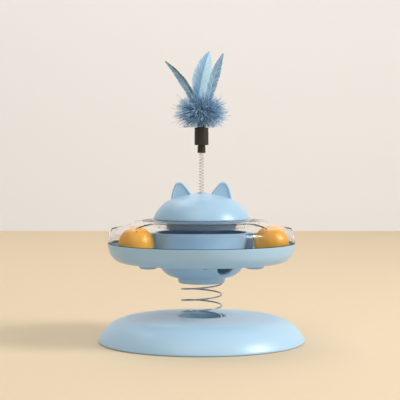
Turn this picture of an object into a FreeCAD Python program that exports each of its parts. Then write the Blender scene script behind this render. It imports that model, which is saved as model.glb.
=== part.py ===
import FreeCAD, Part

import math
import os

import Sketcher

# A round spring-mounted cat toy: a weighted base, a coil spring, a saucer with a ball track under a
# clear cover, a cat-head lid and a feather teaser on a thin spring. Millimetres, +Z up, the origin at
# the middle of the base's footprint, the front towards -Y.

os.makedirs("parts", exist_ok=True)
doc = FreeCAD.newDocument("spring_cat_toy")

DRIVING_SIZES = {
    "base_radius": 103.6,
    "base_edge_height": 1.5,
    "base_hem_radius": 102.8,
    "base_hem_height": 0.3,
    "base_shoulder_radius": 73.4,
    "base_shoulder_height": 23.8,
    "base_side_round": 36.0,
    "base_crown_height": 26.0,
    "base_wall": 2.4,
    "socket_radius": 23.6,
    "socket_floor_height": 15.0,
    "plate_radius": 99.9,
    "plate_thickness": 2.4,
    "foot_outer_radius": 94.0,
    "foot_inner_radius": 84.0,
    "weight_outer_radius": 62.0,
    "weight_inner_radius": 38.0,
    "weight_height": 6.0,
    "base_screw_circle": 74.0,
    "boss_radius": 4.0,
    "screw_shank_radius": 1.4,
    "screw_head_radius": 2.8,
    "screw_head_height": 1.6,
    "coil_radius": 20.3,
    "coil_wire": 1.5,
    "coil_pitch": 11.15,
    "coil_front_height": 33.1,
    "clamp_core_radius": 17.6,
    "clamp_tab_radius": 21.2,
    "hub_ceiling_height": 66.0,
    "hub_mouth_height": 58.9,
    "hub_mouth_radius": 21.8,
    "hub_neck_radius": 24.0,
    "hub_shoulder_height": 64.6,
    "hub_rim_radius": 43.5,
    "hub_side_round": 20.3,
    "hub_wall": 2.0,
    "leak_hole_radius": 10.2,
    "leak_hole_angle": -55.0,
    "tray_underside": 79.6,
    "tray_wall": 1.8,
    "tray_hole_radius": 41.5,
    "tray_flat_radius": 77.5,
    "tray_side_round": 15.5,
    "tray_knee_radius": 92.0,
    "tray_knee_height": 90.3,
    "tray_rim_radius": 94.1,
    "tray_rim_height": 98.6,
    "hub_screw_circle": 49.0,
    "hub_screw_angle": 35.0,
    "cup_radius": 46.7,
    "cup_wall": 2.0,
    "cup_mouth_height": 109.7,
    "cup_foot_radius": 52.8,
    "gutter_reach": 51.2,
    "gutter_width": 16.0,
    "gutter_wall": 1.6,
    "gutter_top": 108.6,
    "window_top": 104.5,
    "arch_height": 10.4,
    "chute_radius": 9.2,
    "chute_wall": 1.5,
    "chute_place": 53.3,
    "scoop_radius": 9.7,
    "scoop_foot": 72.5,
    "scoop_wall": 1.4,
    "scoop_lip": 75.1,
    "cover_wall": 1.2,
    "cover_radius": 93.9,
    "cover_shoulder_radius": 84.5,
    "cover_shoulder_height": 116.4,
    "cover_crown_radius": 62.5,
    "cover_crown_height": 121.9,
    "seat_height": 122.6,
    "seat_bead_radius": 51.5,
    "collar_radius": 43.6,
    "collar_foot_height": 113.6,
    "collar_ledge_radius": 36.2,
    "paw_inner_radius": 66.0,
    "paw_outer_radius": 90.0,
    "paw_half_angle": 40.5,
    "ball_radius": 17.5,
    "ball_height": 99.2,
    "track_radius": 70.5,
    "left_ball_angle": 205.0,
    "right_ball_angle": -12.0,
    "head_radius": 48.2,
    "head_side_round": 34.8,
    "head_crown_round": 85.6,
    "head_brow_radius": 31.1,
    "head_brow_height": 142.5,
    "head_top": 148.6,
    "head_wall": 2.2,
    "plug_radius": 35.0,
    "plug_foot": 115.3,
    "ear_thickness": 7.0,
    "ear_tip_across": 22.3,
    "ear_tip_height": 160.0,
    "wand_hole_radius": 4.6,
    "wand_coil_radius": 2.2,
    "wand_wire": 0.6,
    "wand_pitch": 2.93,
    "wand_foot": 139.2,
    "wand_bore_radius": 2.75,
    "ferrule_radius": 4.0,
    "ferrule_foot": 188.8,
    "feather_cap_radius": 7.0,
    "feather_cap_foot": 196.6,
    "feather_cap_top": 214.0,
    "pompom_radius": 22.5,
    "pompom_middle": 229.5,
    "pompom_round": 17.0,
}


class Size:
    """A number that also carries the spreadsheet formula it comes from."""

    def __init__(self, value, formula):
        self.value = value
        self.formula = formula

    def joined(self, other, sign, value):
        return Size(value, "({} {} {})".format(self.formula, sign, as_size(other).formula))

    def __add__(self, other):
        return self.joined(other, "+", self.value + as_size(other).value)

    def __sub__(self, other):
        return self.joined(other, "-", self.value - as_size(other).value)

    def __mul__(self, other):
        return self.joined(other, "*", self.value * as_size(other).value)

    def __truediv__(self, other):
        return self.joined(other, "/", self.value / as_size(other).value)

    def __neg__(self):
        return Size(-self.value, "(0 - {})".format(self.formula))


def as_size(number):
    """Turns a plain number into a Size, and leaves a Size as it is."""
    if isinstance(number, Size):
        return number
    return Size(float(number), "{:g}".format(number))


def cosine(angle):
    """The cosine of a Size in degrees."""
    return Size(math.cos(math.radians(angle.value)), "cos({})".format(angle.formula))


def sine(angle):
    """The sine of a Size in degrees."""
    return Size(math.sin(math.radians(angle.value)), "sin({})".format(angle.formula))


def fill_sheet():
    """Writes the driving sizes into the spreadsheet and returns them as Size objects by name."""
    sheet = doc.addObject("Spreadsheet::Sheet", "Sizes")
    sizes = {}
    for row, (name, number) in enumerate(DRIVING_SIZES.items(), start=1):
        sheet.set("A{}".format(row), name)
        sheet.set("B{}".format(row), "{:g}".format(number))
        sheet.setAlias("B{}".format(row), name)
        sizes[name] = Size(number, "Sizes.{}".format(name))
    doc.recompute()
    return sizes


S = fill_sheet()
CLAMP_HEIGHT = 4.4


def new_body(label):
    """Starts a sub-part as a body of its own."""
    body = doc.addObject("PartDesign::Body", label)
    body.Label = label
    return body


def origin_item(body, role):
    """A plane or an axis of the body's own origin."""
    return next(item for item in body.Origin.OriginFeatures if item.Role == role)


def new_sketch(body, name, plane="XZ_Plane", lift=0.0, turn=0.0):
    """A sketch on one of the body's planes, lifted along its normal and turned about it."""
    sketch = body.newObject("Sketcher::SketchObject", name)
    sketch.AttachmentSupport = [(origin_item(body, plane), "")]
    sketch.MapMode = "FlatFace"
    lift = as_size(lift)
    turn = as_size(turn)
    spin = FreeCAD.Rotation(FreeCAD.Vector(0, 0, 1), turn.value)
    sketch.AttachmentOffset = FreeCAD.Placement(FreeCAD.Vector(0, 0, lift.value), spin)
    if "Sizes" in lift.formula:
        sketch.setExpression("AttachmentOffset.Base.z", lift.formula)
    return sketch


def place_vertex(sketch, piece, end, across, up):
    """Binds one end of a line or arc to its place, measured from the sketch's origin."""
    for kind, axis, size in (("DistanceX", -2, across), ("DistanceY", -1, up)):
        if abs(size.value) < 1e-9:
            sketch.addConstraint(Sketcher.Constraint("PointOnObject", piece, end, axis))
            continue
        index = sketch.addConstraint(Sketcher.Constraint(kind, -1, 1, piece, end, size.value))
        if "Sizes" in size.formula:
            sketch.setExpression("Constraints[{}]".format(index), size.formula)


def arc_between(first, last, radius, left_turn):
    """The circular arc of under a half turn from first to last, turning left or right."""
    chord = last - first
    half = chord.Length / 2
    side = FreeCAD.Vector(-chord.y, chord.x, 0).normalize()
    if not left_turn:
        side = -side
    centre = (first + last) / 2 + side * math.sqrt(max(radius * radius - half * half, 0.0))
    start, stop = (first, last) if left_turn else (last, first)
    angles = [math.atan2(point.y - centre.y, point.x - centre.x) for point in (start, stop)]
    circle = Part.Circle(centre, FreeCAD.Vector(0, 0, 1), radius)
    return Part.ArcOfCircle(circle, angles[0], angles[1])


def draw_outline(sketch, corners):
    """Draws a closed outline. Each corner is (across, up), and the next side is a line to the next
    corner or, with a third and fourth entry, an arc of that radius that turns "left" or "right"."""
    corners = [
        tuple(item if isinstance(item, str) else as_size(item) for item in corner)
        for corner in corners
    ]
    ends = []
    for index, corner in enumerate(corners):
        follower = corners[(index + 1) % len(corners)]
        first = FreeCAD.Vector(corner[0].value, corner[1].value, 0)
        last = FreeCAD.Vector(follower[0].value, follower[1].value, 0)
        if len(corner) == 2:
            piece = sketch.addGeometry(Part.LineSegment(first, last), False)
            ends.append((piece, 1, 2))
        else:
            left_turn = corner[3] == "left"
            piece = sketch.addGeometry(arc_between(first, last, corner[2].value, left_turn), False)
            ends.append((piece, 1, 2) if left_turn else (piece, 2, 1))
    for index, (piece, start, stop) in enumerate(ends):
        follower = ends[(index + 1) % len(ends)]
        sketch.addConstraint(Sketcher.Constraint("Coincident", piece, stop, follower[0], follower[1]))
    for (piece, start, stop), corner in zip(ends, corners):
        place_vertex(sketch, piece, start, corner[0], corner[1])
        if len(corner) == 4:
            index = sketch.addConstraint(Sketcher.Constraint("Radius", piece, corner[2].value))
            if "Sizes" in corner[2].formula:
                sketch.setExpression("Constraints[{}]".format(index), corner[2].formula)


def draw_circle(sketch, across, up, radius):
    """Draws a full circle bound to the sheet."""
    across, up, radius = as_size(across), as_size(up), as_size(radius)
    centre = FreeCAD.Vector(across.value, up.value, 0)
    piece = sketch.addGeometry(Part.Circle(centre, FreeCAD.Vector(0, 0, 1), radius.value), False)
    place_vertex(sketch, piece, 3, across, up)
    index = sketch.addConstraint(Sketcher.Constraint("Radius", piece, radius.value))
    if "Sizes" in radius.formula:
        sketch.setExpression("Constraints[{}]".format(index), radius.formula)


def rectangle(left, bottom, right, top):
    """The four corners of an upright rectangle."""
    return [(left, bottom), (right, bottom), (right, top), (left, top)]


def set_size(feature, field, size):
    """Sets one dimension of a feature and binds it to the sheet."""
    size = as_size(size)
    setattr(feature, field, size.value)
    if "Sizes" in size.formula:
        feature.setExpression(field, size.formula)


def revolve(body, name, corners):
    """Adds a full turn of an outline about the body's upright axis."""
    sketch = new_sketch(body, name + "_outline")
    draw_outline(sketch, corners)
    feature = body.newObject("PartDesign::Revolution", name)
    feature.Profile = sketch
    feature.ReferenceAxis = (sketch, ["V_Axis"])
    feature.Angle = 360
    return feature


def groove(body, name, corners):
    """Cuts a full turn of an outline about the body's upright axis."""
    sketch = new_sketch(body, name + "_outline")
    draw_outline(sketch, corners)
    feature = body.newObject("PartDesign::Groove", name)
    feature.Profile = sketch
    feature.ReferenceAxis = (sketch, ["V_Axis"])
    feature.Angle = 360
    return feature


def pad(body, name, sketch, length, midplane=False):
    """Adds material along the sketch's normal, or evenly to both sides."""
    feature = body.newObject("PartDesign::Pad", name)
    feature.Profile = sketch
    set_size(feature, "Length", length)
    feature.Midplane = midplane
    return feature


def pocket(body, name, sketch, length, upwards=True, midplane=False):
    """Cuts along the sketch's normal (upwards), against it, or evenly to both sides."""
    feature = body.newObject("PartDesign::Pocket", name)
    feature.Profile = sketch
    set_size(feature, "Length", length)
    feature.Midplane = midplane
    feature.Reversed = upwards
    return feature


def repeat_round(body, name, features, count):
    """Repeats features evenly round the body's upright axis."""
    feature = body.newObject("PartDesign::PolarPattern", name)
    feature.Originals = features
    feature.Axis = (origin_item(body, "Z_Axis"), [""])
    feature.Angle = 360
    feature.Occurrences = count
    body.Tip = feature
    return feature


def circles_on_ring(sketch, ring, radius, angle):
    """One circle on a ring at an angle in degrees from the sketch's first axis."""
    angle = as_size(angle)
    draw_circle(sketch, ring * cosine(angle), ring * sine(angle), radius)


def ring_of_holes(body, name, ring, radius, angle, bottom, depth, count):
    """Cuts round holes from below, evenly spaced on a ring."""
    sketch = new_sketch(body, name + "_circle", "XY_Plane", lift=bottom)
    circles_on_ring(sketch, ring, radius, angle)
    hole = pocket(body, name, sketch, depth)
    return repeat_round(body, name + "_ring", [hole], count)


def ring_of_posts(body, name, ring, radius, angle, bottom, height, count):
    """Adds round posts that stand up from a level, evenly spaced on a ring."""
    sketch = new_sketch(body, name + "_circle", "XY_Plane", lift=bottom)
    circles_on_ring(sketch, ring, radius, angle)
    post = pad(body, name, sketch, height)
    return repeat_round(body, name + "_ring", [post], count)


def screws(label, ring, angle, count, head_bottom, length, points_up=True):
    """A group of pan-head screws on a ring. The heads' outer faces lie at head_bottom."""
    head = S["screw_head_radius"].value
    height = S["screw_head_height"].value
    shank = S["screw_shank_radius"].value - 0.1
    outline = [(0, 0), (head - 0.5, 0), (head, 0.5), (head, height), (shank, height)]
    outline += [(shank, length - 1.0), (0, length)]
    points = [FreeCAD.Vector(across, 0, up) for across, up in outline]
    face = Part.Face(Part.makePolygon(points + points[:1]))
    screw = face.revolve(FreeCAD.Vector(0, 0, 0), FreeCAD.Vector(0, 0, 1), 360)
    if not points_up:
        screw.rotate(FreeCAD.Vector(0, 0, 0), FreeCAD.Vector(1, 0, 0), 180)
    copies = []
    for number in range(count):
        turn = math.radians(angle + 360.0 * number / count)
        copy = screw.copy()
        copy.translate(FreeCAD.Vector(ring * math.cos(turn), ring * math.sin(turn), head_bottom))
        copies.append(copy)
    return loose_part(label, Part.makeCompound(copies))


def loose_part(label, shape):
    """A sub-part whose shape is made directly, with its own label and placement."""
    feature = doc.addObject("Part::Feature", label)
    feature.Label = label
    feature.Shape = shape
    feature.Placement = FreeCAD.Placement()
    return feature


def biarc(first, first_way, last, last_way):
    """Two tangent arcs in space from one point and direction to another."""
    chord = last - first
    ways = first_way + last_way
    spread = 2 * (1 - first_way.dot(last_way))
    reach = (-chord.dot(ways) + math.sqrt(chord.dot(ways) ** 2 + spread * chord.dot(chord))) / spread
    first_knee = first + first_way * reach
    last_knee = last - last_way * reach
    middle = (first_knee + last_knee) / 2
    edges = []
    for start, knee, stop in ((first, first_knee, middle), (middle, last_knee, last)):
        half = (stop - start).Length / 2
        chord_middle = (start + stop) / 2
        rise = knee - chord_middle
        slant = math.sqrt(half * half + rise.Length ** 2)
        radius = half * slant / rise.Length
        bulge = radius - math.sqrt(radius * radius - half * half)
        edges.append(Part.Arc(start, chord_middle + rise.normalize() * bulge, stop).toShape())
    return edges


def coil(label, radius, wire, height_at, first_angle, step, steps):
    """One unbroken round wire wound about the upright axis, as a pipe along biarcs.

    height_at gives the wire's height for an angle in degrees; step is the angle of one biarc."""

    def place(angle):
        turn = math.radians(angle)
        return FreeCAD.Vector(radius * math.cos(turn), radius * math.sin(turn), height_at(angle))

    def way(angle):
        turn = math.radians(angle)
        climb = (height_at(angle + 0.01) - height_at(angle - 0.01)) / math.radians(0.02)
        return FreeCAD.Vector(-radius * math.sin(turn), radius * math.cos(turn), climb).normalize()

    edges = []
    for number in range(steps):
        angle = first_angle + number * step
        edges += biarc(place(angle), way(angle), place(angle + step), way(angle + step))
    path = Part.Wire(edges)
    section = Part.Wire(Part.makeCircle(wire / 2, place(first_angle), way(first_angle)))
    tube = path.makePipeShell([section], True, False)
    report_gap(label, place, first_angle, step * steps, wire)
    return loose_part(label, tube)


def report_gap(label, place, first_angle, sweep, wire):
    """Prints the least gap between neighbouring turns, measured on points of the wire's middle line."""
    count = int(sweep / 10)
    points = [place(first_angle + 10 * number) for number in range(count + 1)]
    least = min(
        (points[number] - points[other]).Length
        for number in range(len(points))
        for other in range(number + 18, min(number + 45, len(points)))
    )
    print("{}: least gap between turns {:.2f} mm".format(label, least - wire))


def eased_climb(first_angle, last_angle, bottom, pitch, ease):
    """The height of a coil that lies flat, climbs at a steady pitch between two angles, and lies flat."""

    def climbed(angle):
        if angle <= -ease:
            return 0.0
        if angle >= ease:
            return angle
        return (angle + ease) ** 2 / (4 * ease)

    def height_at(angle):
        return bottom + pitch / 360 * (climbed(angle - first_angle) - climbed(angle - last_angle))

    return height_at


def make_base():
    """The weighted base: shell, floor plate, weight, foot ring, and the clamp for the spring."""
    shell = new_body("base_shell")
    wall = S["base_wall"]
    inner_edge = S["base_radius"] - wall - 0.2
    side_round = S["base_side_round"]
    floor_bottom = S["socket_floor_height"] - wall
    revolve(shell, "dome", [
        (S["base_hem_radius"], S["base_hem_height"], 1.3, "left"),
        (S["base_radius"], S["base_edge_height"], side_round, "left"),
        (S["base_shoulder_radius"], S["base_shoulder_height"]),
        (S["socket_radius"] + 2.2, S["base_crown_height"], 2.2, "left"),
        (S["socket_radius"], S["base_crown_height"] - 2.2),
        (S["socket_radius"], S["socket_floor_height"]),
        (0, S["socket_floor_height"]),
        (0, floor_bottom),
        (S["socket_radius"] + wall, floor_bottom),
        (S["socket_radius"] + wall, S["base_crown_height"] - wall - 0.2),
        (S["base_shoulder_radius"] - 0.2, S["base_shoulder_height"] - wall, side_round - wall, "right"),
        (inner_edge, S["base_edge_height"]),
        (inner_edge + 0.3, S["base_hem_height"]),
    ])
    boss_bottom = S["base_hem_height"] + S["plate_thickness"]
    ring_of_posts(shell, "boss", S["base_screw_circle"], S["boss_radius"], 45, boss_bottom, 19.5, 4)
    ring_of_holes(shell, "boss_bore", S["base_screw_circle"], S["screw_shank_radius"], 45, boss_bottom, 13, 4)
    clamp_circle = S["clamp_core_radius"] - 7
    ring_of_posts(shell, "clamp_boss", clamp_circle, 3.2, 30, floor_bottom - 5, 5.5, 3)
    ring_of_holes(shell, "clamp_boss_bore", clamp_circle, S["screw_shank_radius"], 30, floor_bottom - 5, 8, 3)

    plate = new_body("base_plate")
    plate_top = S["base_hem_height"] + S["plate_thickness"]
    revolve(plate, "disc", [
        (0, S["base_hem_height"]),
        (S["foot_inner_radius"], S["base_hem_height"]),
        (S["foot_inner_radius"], S["base_hem_height"] + 0.9),
        (S["foot_outer_radius"], S["base_hem_height"] + 0.9),
        (S["foot_outer_radius"], S["base_hem_height"]),
        (S["plate_radius"], S["base_hem_height"]),
        (S["plate_radius"], plate_top),
        (0, plate_top),
    ])
    head_recess = S["screw_head_radius"] + 0.5
    ring_of_holes(plate, "head_recess", S["base_screw_circle"], head_recess, 45, S["base_hem_height"], 1.6, 4)
    ring_of_holes(plate, "screw_hole", S["base_screw_circle"], S["screw_shank_radius"] + 0.3, 45, 0, 10, 4)

    foot = new_body("foot_ring")
    revolve(foot, "ring", [
        (S["foot_inner_radius"] + 0.05, 0.4),
        (S["foot_inner_radius"] + 0.45, 0),
        (S["foot_outer_radius"] - 0.45, 0),
        (S["foot_outer_radius"] - 0.05, 0.4),
        (S["foot_outer_radius"] - 0.05, S["base_hem_height"] + 0.9),
        (S["foot_inner_radius"] + 0.05, S["base_hem_height"] + 0.9),
    ])

    weight = new_body("base_weight")
    revolve(weight, "ring", rectangle(
        S["weight_inner_radius"], plate_top, S["weight_outer_radius"], plate_top + S["weight_height"]))
    screws("base_screws", S["base_screw_circle"].value, 45, 4, S["base_hem_height"].value, 13)

    clamp = new_body("lower_spring_clamp")
    spring_clamp(clamp, S["socket_floor_height"], S["socket_floor_height"] + 2.4)
    screws("lower_clamp_screws", clamp_circle.value, 30, 3, S["socket_floor_height"].value + 6.0, 10, points_up=False)


def spring_clamp(clamp, under, tab_level):
    """A core inside the spring's end turn, with three tabs that reach over the turn and hold it."""
    core = S["clamp_core_radius"]
    revolve(clamp, "core", rectangle(4.0, under, core, under + CLAMP_HEIGHT))
    for name, turn in zip(("first_tab", "second_tab", "third_tab"), (240, 330, 60)):
        sketch = new_sketch(clamp, name + "_outline", "XY_Plane", lift=tab_level, turn=turn)
        draw_outline(sketch, rectangle(core - 3, -5, S["clamp_tab_radius"], 5))
        pad(clamp, name, sketch, 2.0)
    ring_of_holes(clamp, "clamp_hole", core - 7, S["screw_shank_radius"] + 0.3, 30, under, CLAMP_HEIGHT, 3)


def make_main_spring():
    """The coil spring between base and saucer, in two lengths that meet face to face half way up.

    It lies flat on its seat at each end and climbs at a steady pitch between."""
    pitch = S["coil_pitch"].value
    wire = S["coil_wire"].value
    front_height = S["coil_front_height"].value
    bottom = S["socket_floor_height"].value + wire / 2 + 0.25
    top = S["hub_ceiling_height"].value - wire / 2 - 0.25
    climb_start = 270 - (front_height - bottom) / pitch * 360
    climb_end = 270 + (top - front_height) / pitch * 360
    quarters = 24
    flat = (quarters * 90 - (climb_end - climb_start)) / 2
    height_at = eased_climb(climb_start, climb_end, bottom, pitch, 45)
    radius = S["coil_radius"].value
    first_angle = climb_start - flat
    coil("main_spring_lower", radius, wire, height_at, first_angle, 90, quarters // 2)
    coil("main_spring_upper", radius, wire, height_at, first_angle + quarters // 2 * 90, 90, quarters // 2)


def make_hub():
    """The bowl under the saucer, with its leak holes, screw tabs and the neck that takes the spring."""
    hub = new_body("hub_bowl")
    ceiling = S["hub_ceiling_height"]
    floor = ceiling + S["hub_wall"]
    mouth = S["hub_mouth_radius"]
    rim = S["hub_rim_radius"]
    side_round = S["hub_side_round"]
    revolve(hub, "bowl", [
        (mouth, S["hub_mouth_height"]),
        (mouth + 0.4, S["hub_mouth_height"], 1.3, "left"),
        (mouth + 1.4, S["hub_mouth_height"] + 1.3),
        (S["hub_neck_radius"], S["hub_shoulder_height"]),
        (S["hub_neck_radius"] + 4.9, S["hub_shoulder_height"] + 0.5, side_round, "left"),
        (rim, S["tray_underside"]),
        (rim - S["hub_wall"], S["tray_underside"], side_round - S["hub_wall"], "right"),
        (S["hub_neck_radius"] + 7.2, floor),
        (0, floor),
        (0, ceiling),
        (mouth, ceiling),
    ])
    tab_level = S["tray_underside"] - 1.8
    sketch = new_sketch(hub, "screw_tab_outline", "XY_Plane", lift=tab_level, turn=S["hub_screw_angle"])
    ring = S["hub_screw_circle"]
    draw_outline(sketch, [
        (rim - 1.5, -4.5),
        (ring, -4.5, 4.5, "left"),
        (ring + 4.5, 0, 4.5, "left"),
        (ring, 4.5),
        (rim - 1.5, 4.5),
    ])
    tab = pad(hub, "screw_tab", sketch, 1.8)
    repeat_round(hub, "screw_tabs", [tab], 3)
    ring_of_holes(hub, "screw_hole", ring, S["screw_shank_radius"] + 0.3, S["hub_screw_angle"], tab_level, 2, 3)
    clamp_circle = S["clamp_core_radius"] - 7
    ring_of_posts(hub, "clamp_boss", clamp_circle, 3.2, 30, floor - 0.5, 4.5, 3)
    ring_of_holes(hub, "clamp_boss_bore", clamp_circle, S["screw_shank_radius"], 30, ceiling, 5, 3)
    leak_holes(hub)


def leak_holes(hub):
    """Two round holes square to the bowl's slanting wall, opposite each other."""
    turn = math.radians(S["leak_hole_angle"].value)
    outwards = FreeCAD.Vector(math.cos(turn), math.sin(turn), 0)
    slant = (outwards - FreeCAD.Vector(0, 0, 1)).normalize()
    lift = FreeCAD.Vector(0, 0, S["tray_underside"].value - 1.2)
    middle = outwards * (S["hub_rim_radius"].value - 1.2) + lift
    drill = hub.newObject("PartDesign::SubtractiveCylinder", "leak_hole")
    set_size(drill, "Radius", S["leak_hole_radius"])
    drill.Height = 16
    drill.Placement = FreeCAD.Placement(middle - slant * 8, FreeCAD.Rotation(FreeCAD.Vector(0, 0, 1), slant))
    repeat_round(hub, "leak_holes", [drill], 2)


def make_tray():
    """The saucer's lower shell, whose floor is the ball track."""
    tray = new_body("track_tray")
    under = S["tray_underside"]
    floor = under + S["tray_wall"]
    rim = S["tray_rim_radius"]
    knee = S["tray_knee_radius"]
    side_round = S["tray_side_round"]
    revolve(tray, "saucer", [
        (S["tray_hole_radius"], under),
        (S["tray_flat_radius"], under, side_round, "left"),
        (knee, S["tray_knee_height"], 60, "left"),
        (rim, S["tray_rim_height"]),
        (rim - 1.2, S["tray_rim_height"]),
        (rim - 1.2, S["tray_rim_height"] - 2.2),
        (rim - 2.6, S["tray_rim_height"] - 2.2),
        (knee - 1.6, S["tray_knee_height"] + 0.3, side_round - S["tray_wall"], "right"),
        (S["tray_flat_radius"], floor),
        (S["tray_hole_radius"], floor),
    ])
    ring_of_holes(tray, "chute_hole", S["chute_place"], S["chute_radius"] + 0.05, 0, under - 1, 5, 2)
    ring = S["hub_screw_circle"]
    ring_of_holes(tray, "screw_hole", ring, S["screw_shank_radius"] + 0.3, S["hub_screw_angle"], under - 1, 4, 3)


def make_cup():
    """The treat cup that stands in the saucer, with a window and a gutter at each side."""
    cup = new_body("treat_cup")
    foot = S["tray_underside"] + S["tray_wall"]
    radius = S["cup_radius"]
    mouth = S["cup_mouth_height"]
    lip = S["cup_wall"] / 2
    revolve(cup, "wall", [
        (radius - S["cup_wall"], foot),
        (S["cup_foot_radius"], foot),
        (S["cup_foot_radius"], foot + 1.8),
        (radius + 1.2, foot + 1.8, 1.2, "right"),
        (radius, foot + 3.0),
        (radius, mouth - lip, lip, "left"),
        (radius - lip, mouth, lip, "left"),
        (radius - S["cup_wall"], mouth - lip),
    ])
    ring = S["hub_screw_circle"]
    ring_of_posts(cup, "screw_boss", ring, 3.2, S["hub_screw_angle"], foot + 1.6, 4.0, 3)
    ring_of_holes(cup, "screw_bore", ring, S["screw_shank_radius"], S["hub_screw_angle"], foot, 5.2, 3)

    half = S["gutter_width"] / 2
    reach = S["gutter_reach"]
    sketch = new_sketch(cup, "gutter_outline", "XY_Plane", lift=foot + 1.6)
    draw_outline(sketch, rectangle(radius - 0.7, -half, reach, half))
    gutter = pad(cup, "gutter", sketch, S["gutter_top"] - foot - 1.6)
    sketch = new_sketch(cup, "ledge_outline", "XY_Plane", lift=S["gutter_top"] - 1.4)
    draw_outline(sketch, rectangle(radius - 0.7, -half - 0.8, reach + 1.4, half + 0.8))
    ledge = pad(cup, "ledge", sketch, 1.4)
    sketch = new_sketch(cup, "channel_outline", "XY_Plane", lift=foot)
    inner_half = half - S["gutter_wall"]
    draw_outline(sketch, rectangle(radius - 5, -inner_half, reach - S["gutter_wall"], inner_half))
    channel = pocket(cup, "channel", sketch, S["window_top"] - foot)
    sketch = new_sketch(cup, "arch_outline", "XY_Plane", lift=foot + 1.8)
    draw_outline(sketch, rectangle(radius - 5, -inner_half, reach + 0.5, inner_half))
    arch = pocket(cup, "arch", sketch, S["arch_height"])
    sketch = new_sketch(cup, "drop_outline", "XY_Plane", lift=foot)
    draw_circle(sketch, S["chute_place"], 0, S["chute_radius"] - S["chute_wall"])
    drop = pocket(cup, "drop", sketch, 1.8)
    repeat_round(cup, "two_sides", [gutter, ledge, channel, arch, drop], 2)


def make_chute(label, turn):
    """A shallow round scoop under the saucer's floor, open towards the outside above a slanting lip."""
    chute = new_body(label)
    under = S["tray_underside"]
    top = under + S["tray_wall"]
    neck, bore = S["chute_radius"], S["chute_radius"] - S["chute_wall"]
    radius, foot, wall = S["scoop_radius"], S["scoop_foot"], S["scoop_wall"]
    revolve(chute, "scoop", [
        (0, foot),
        (radius - 3.5, foot, 3.5, "left"),
        (radius, foot + 3.5),
        (radius, under),
        (neck, under),
        (neck, top),
        (bore, top),
        (bore, under - 0.6),
        (radius - wall, under - 1.2),
        (radius - wall, foot + 3.5, 2.1, "right"),
        (radius - 3.5, foot + wall),
        (0, foot + wall),
    ])
    sketch = new_sketch(chute, "mouth_outline")
    draw_outline(sketch, [
        (-6.0, under),
        (radius + 2.0, S["scoop_lip"] - 0.6),
        (radius + 2.0, under),
    ])
    pocket(chute, "mouth", sketch, 30, midplane=True)
    about = FreeCAD.Rotation(FreeCAD.Vector(0, 0, 1), turn)
    place = about.multVec(FreeCAD.Vector(S["chute_place"].value, 0, 0))
    chute.Placement = FreeCAD.Placement(place, about)
    sign = "" if turn == 0 else "-"
    chute.setExpression("Placement.Base.x", sign + "Sizes.chute_place")


def make_cover():
    """The clear cover: outer wall, sloping top with paw windows, and the collar that takes the lid."""
    cover = new_body("clear_cover")
    rim = S["tray_rim_height"]
    outer = S["cover_radius"]
    wall = S["cover_wall"]
    shoulder, shoulder_height = S["cover_shoulder_radius"], S["cover_shoulder_height"]
    crown, crown_height = S["cover_crown_radius"], S["cover_crown_height"]
    bead, seat = S["seat_bead_radius"], S["seat_height"]
    collar, collar_foot = S["collar_radius"], S["collar_foot_height"]
    revolve(cover, "shell", [
        (outer - 2.0, rim - 1.9),
        (outer - 1.1, rim - 1.9),
        (outer - 1.1, rim + 0.1),
        (outer, rim + 0.1),
        (outer - 0.5, rim + 5.4),
        (outer - 1.6, rim + 10.4, 10.2, "left"),
        (shoulder, shoulder_height),
        (crown, crown_height),
        (bead, seat + 0.8),
        (bead - 1.7, seat + 0.8),
        (bead - 2.5, seat),
        (collar - wall, seat),
        (collar - wall, collar_foot + 1.6),
        (S["collar_ledge_radius"], collar_foot + 1.6),
        (S["collar_ledge_radius"], collar_foot),
        (collar, collar_foot),
        (collar, seat - wall),
        (crown - 5.5, crown_height - 0.5),
        (crown - 5.5, crown_height - 4.7),
        (crown - 4.1, crown_height - 4.7),
        (crown - 4.1, crown_height - 0.8),
        (crown - 0.2, crown_height - 1.2),
        (shoulder - 0.4, shoulder_height - 1.15, 9.0, "right"),
        (outer - 2.8, rim + 10.2),
        (outer - 1.7, rim + 5.3),
        (outer - 1.4, rim + 1.8),
        (outer - 2.0, rim + 0.9),
    ])
    sketch = new_sketch(cover, "paw_window_outline", "XY_Plane", lift=shoulder_height - 8, turn=30)
    inner, reach = S["paw_inner_radius"], S["paw_outer_radius"]
    along, across = cosine(S["paw_half_angle"]), sine(S["paw_half_angle"])
    end_round = (reach - inner) / 2
    middle = (reach + inner) / 2
    tip_along = middle * along - end_round * across
    tip_across = middle * across + end_round * along
    draw_outline(sketch, [
        (reach * along, -(reach * across), reach, "left"),
        (reach * along, reach * across, end_round, "left"),
        (tip_along, tip_across, end_round, "left"),
        (inner * along, inner * across, inner, "right"),
        (inner * along, -(inner * across), end_round, "left"),
        (tip_along, -tip_across, end_round, "left"),
    ])
    window = pocket(cover, "paw_window", sketch, 16)
    repeat_round(cover, "paw_windows", [window], 3)


def make_ball(label, angle):
    """One track ball, placed on the track's middle line."""
    ball = doc.addObject("Part::Sphere", label)
    ball.Label = label
    set_size(ball, "Radius", S["ball_radius"])
    turn = math.radians(S[angle].value)
    track = S["track_radius"].value
    place = FreeCAD.Vector(track * math.cos(turn), track * math.sin(turn), S["ball_height"].value)
    ball.Placement = FreeCAD.Placement(place, FreeCAD.Rotation())
    ball.setExpression("Placement.Base.x", "Sizes.track_radius * cos(Sizes.{})".format(angle))
    ball.setExpression("Placement.Base.y", "Sizes.track_radius * sin(Sizes.{})".format(angle))
    ball.setExpression("Placement.Base.z", "Sizes.ball_height")
    return ball


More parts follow.
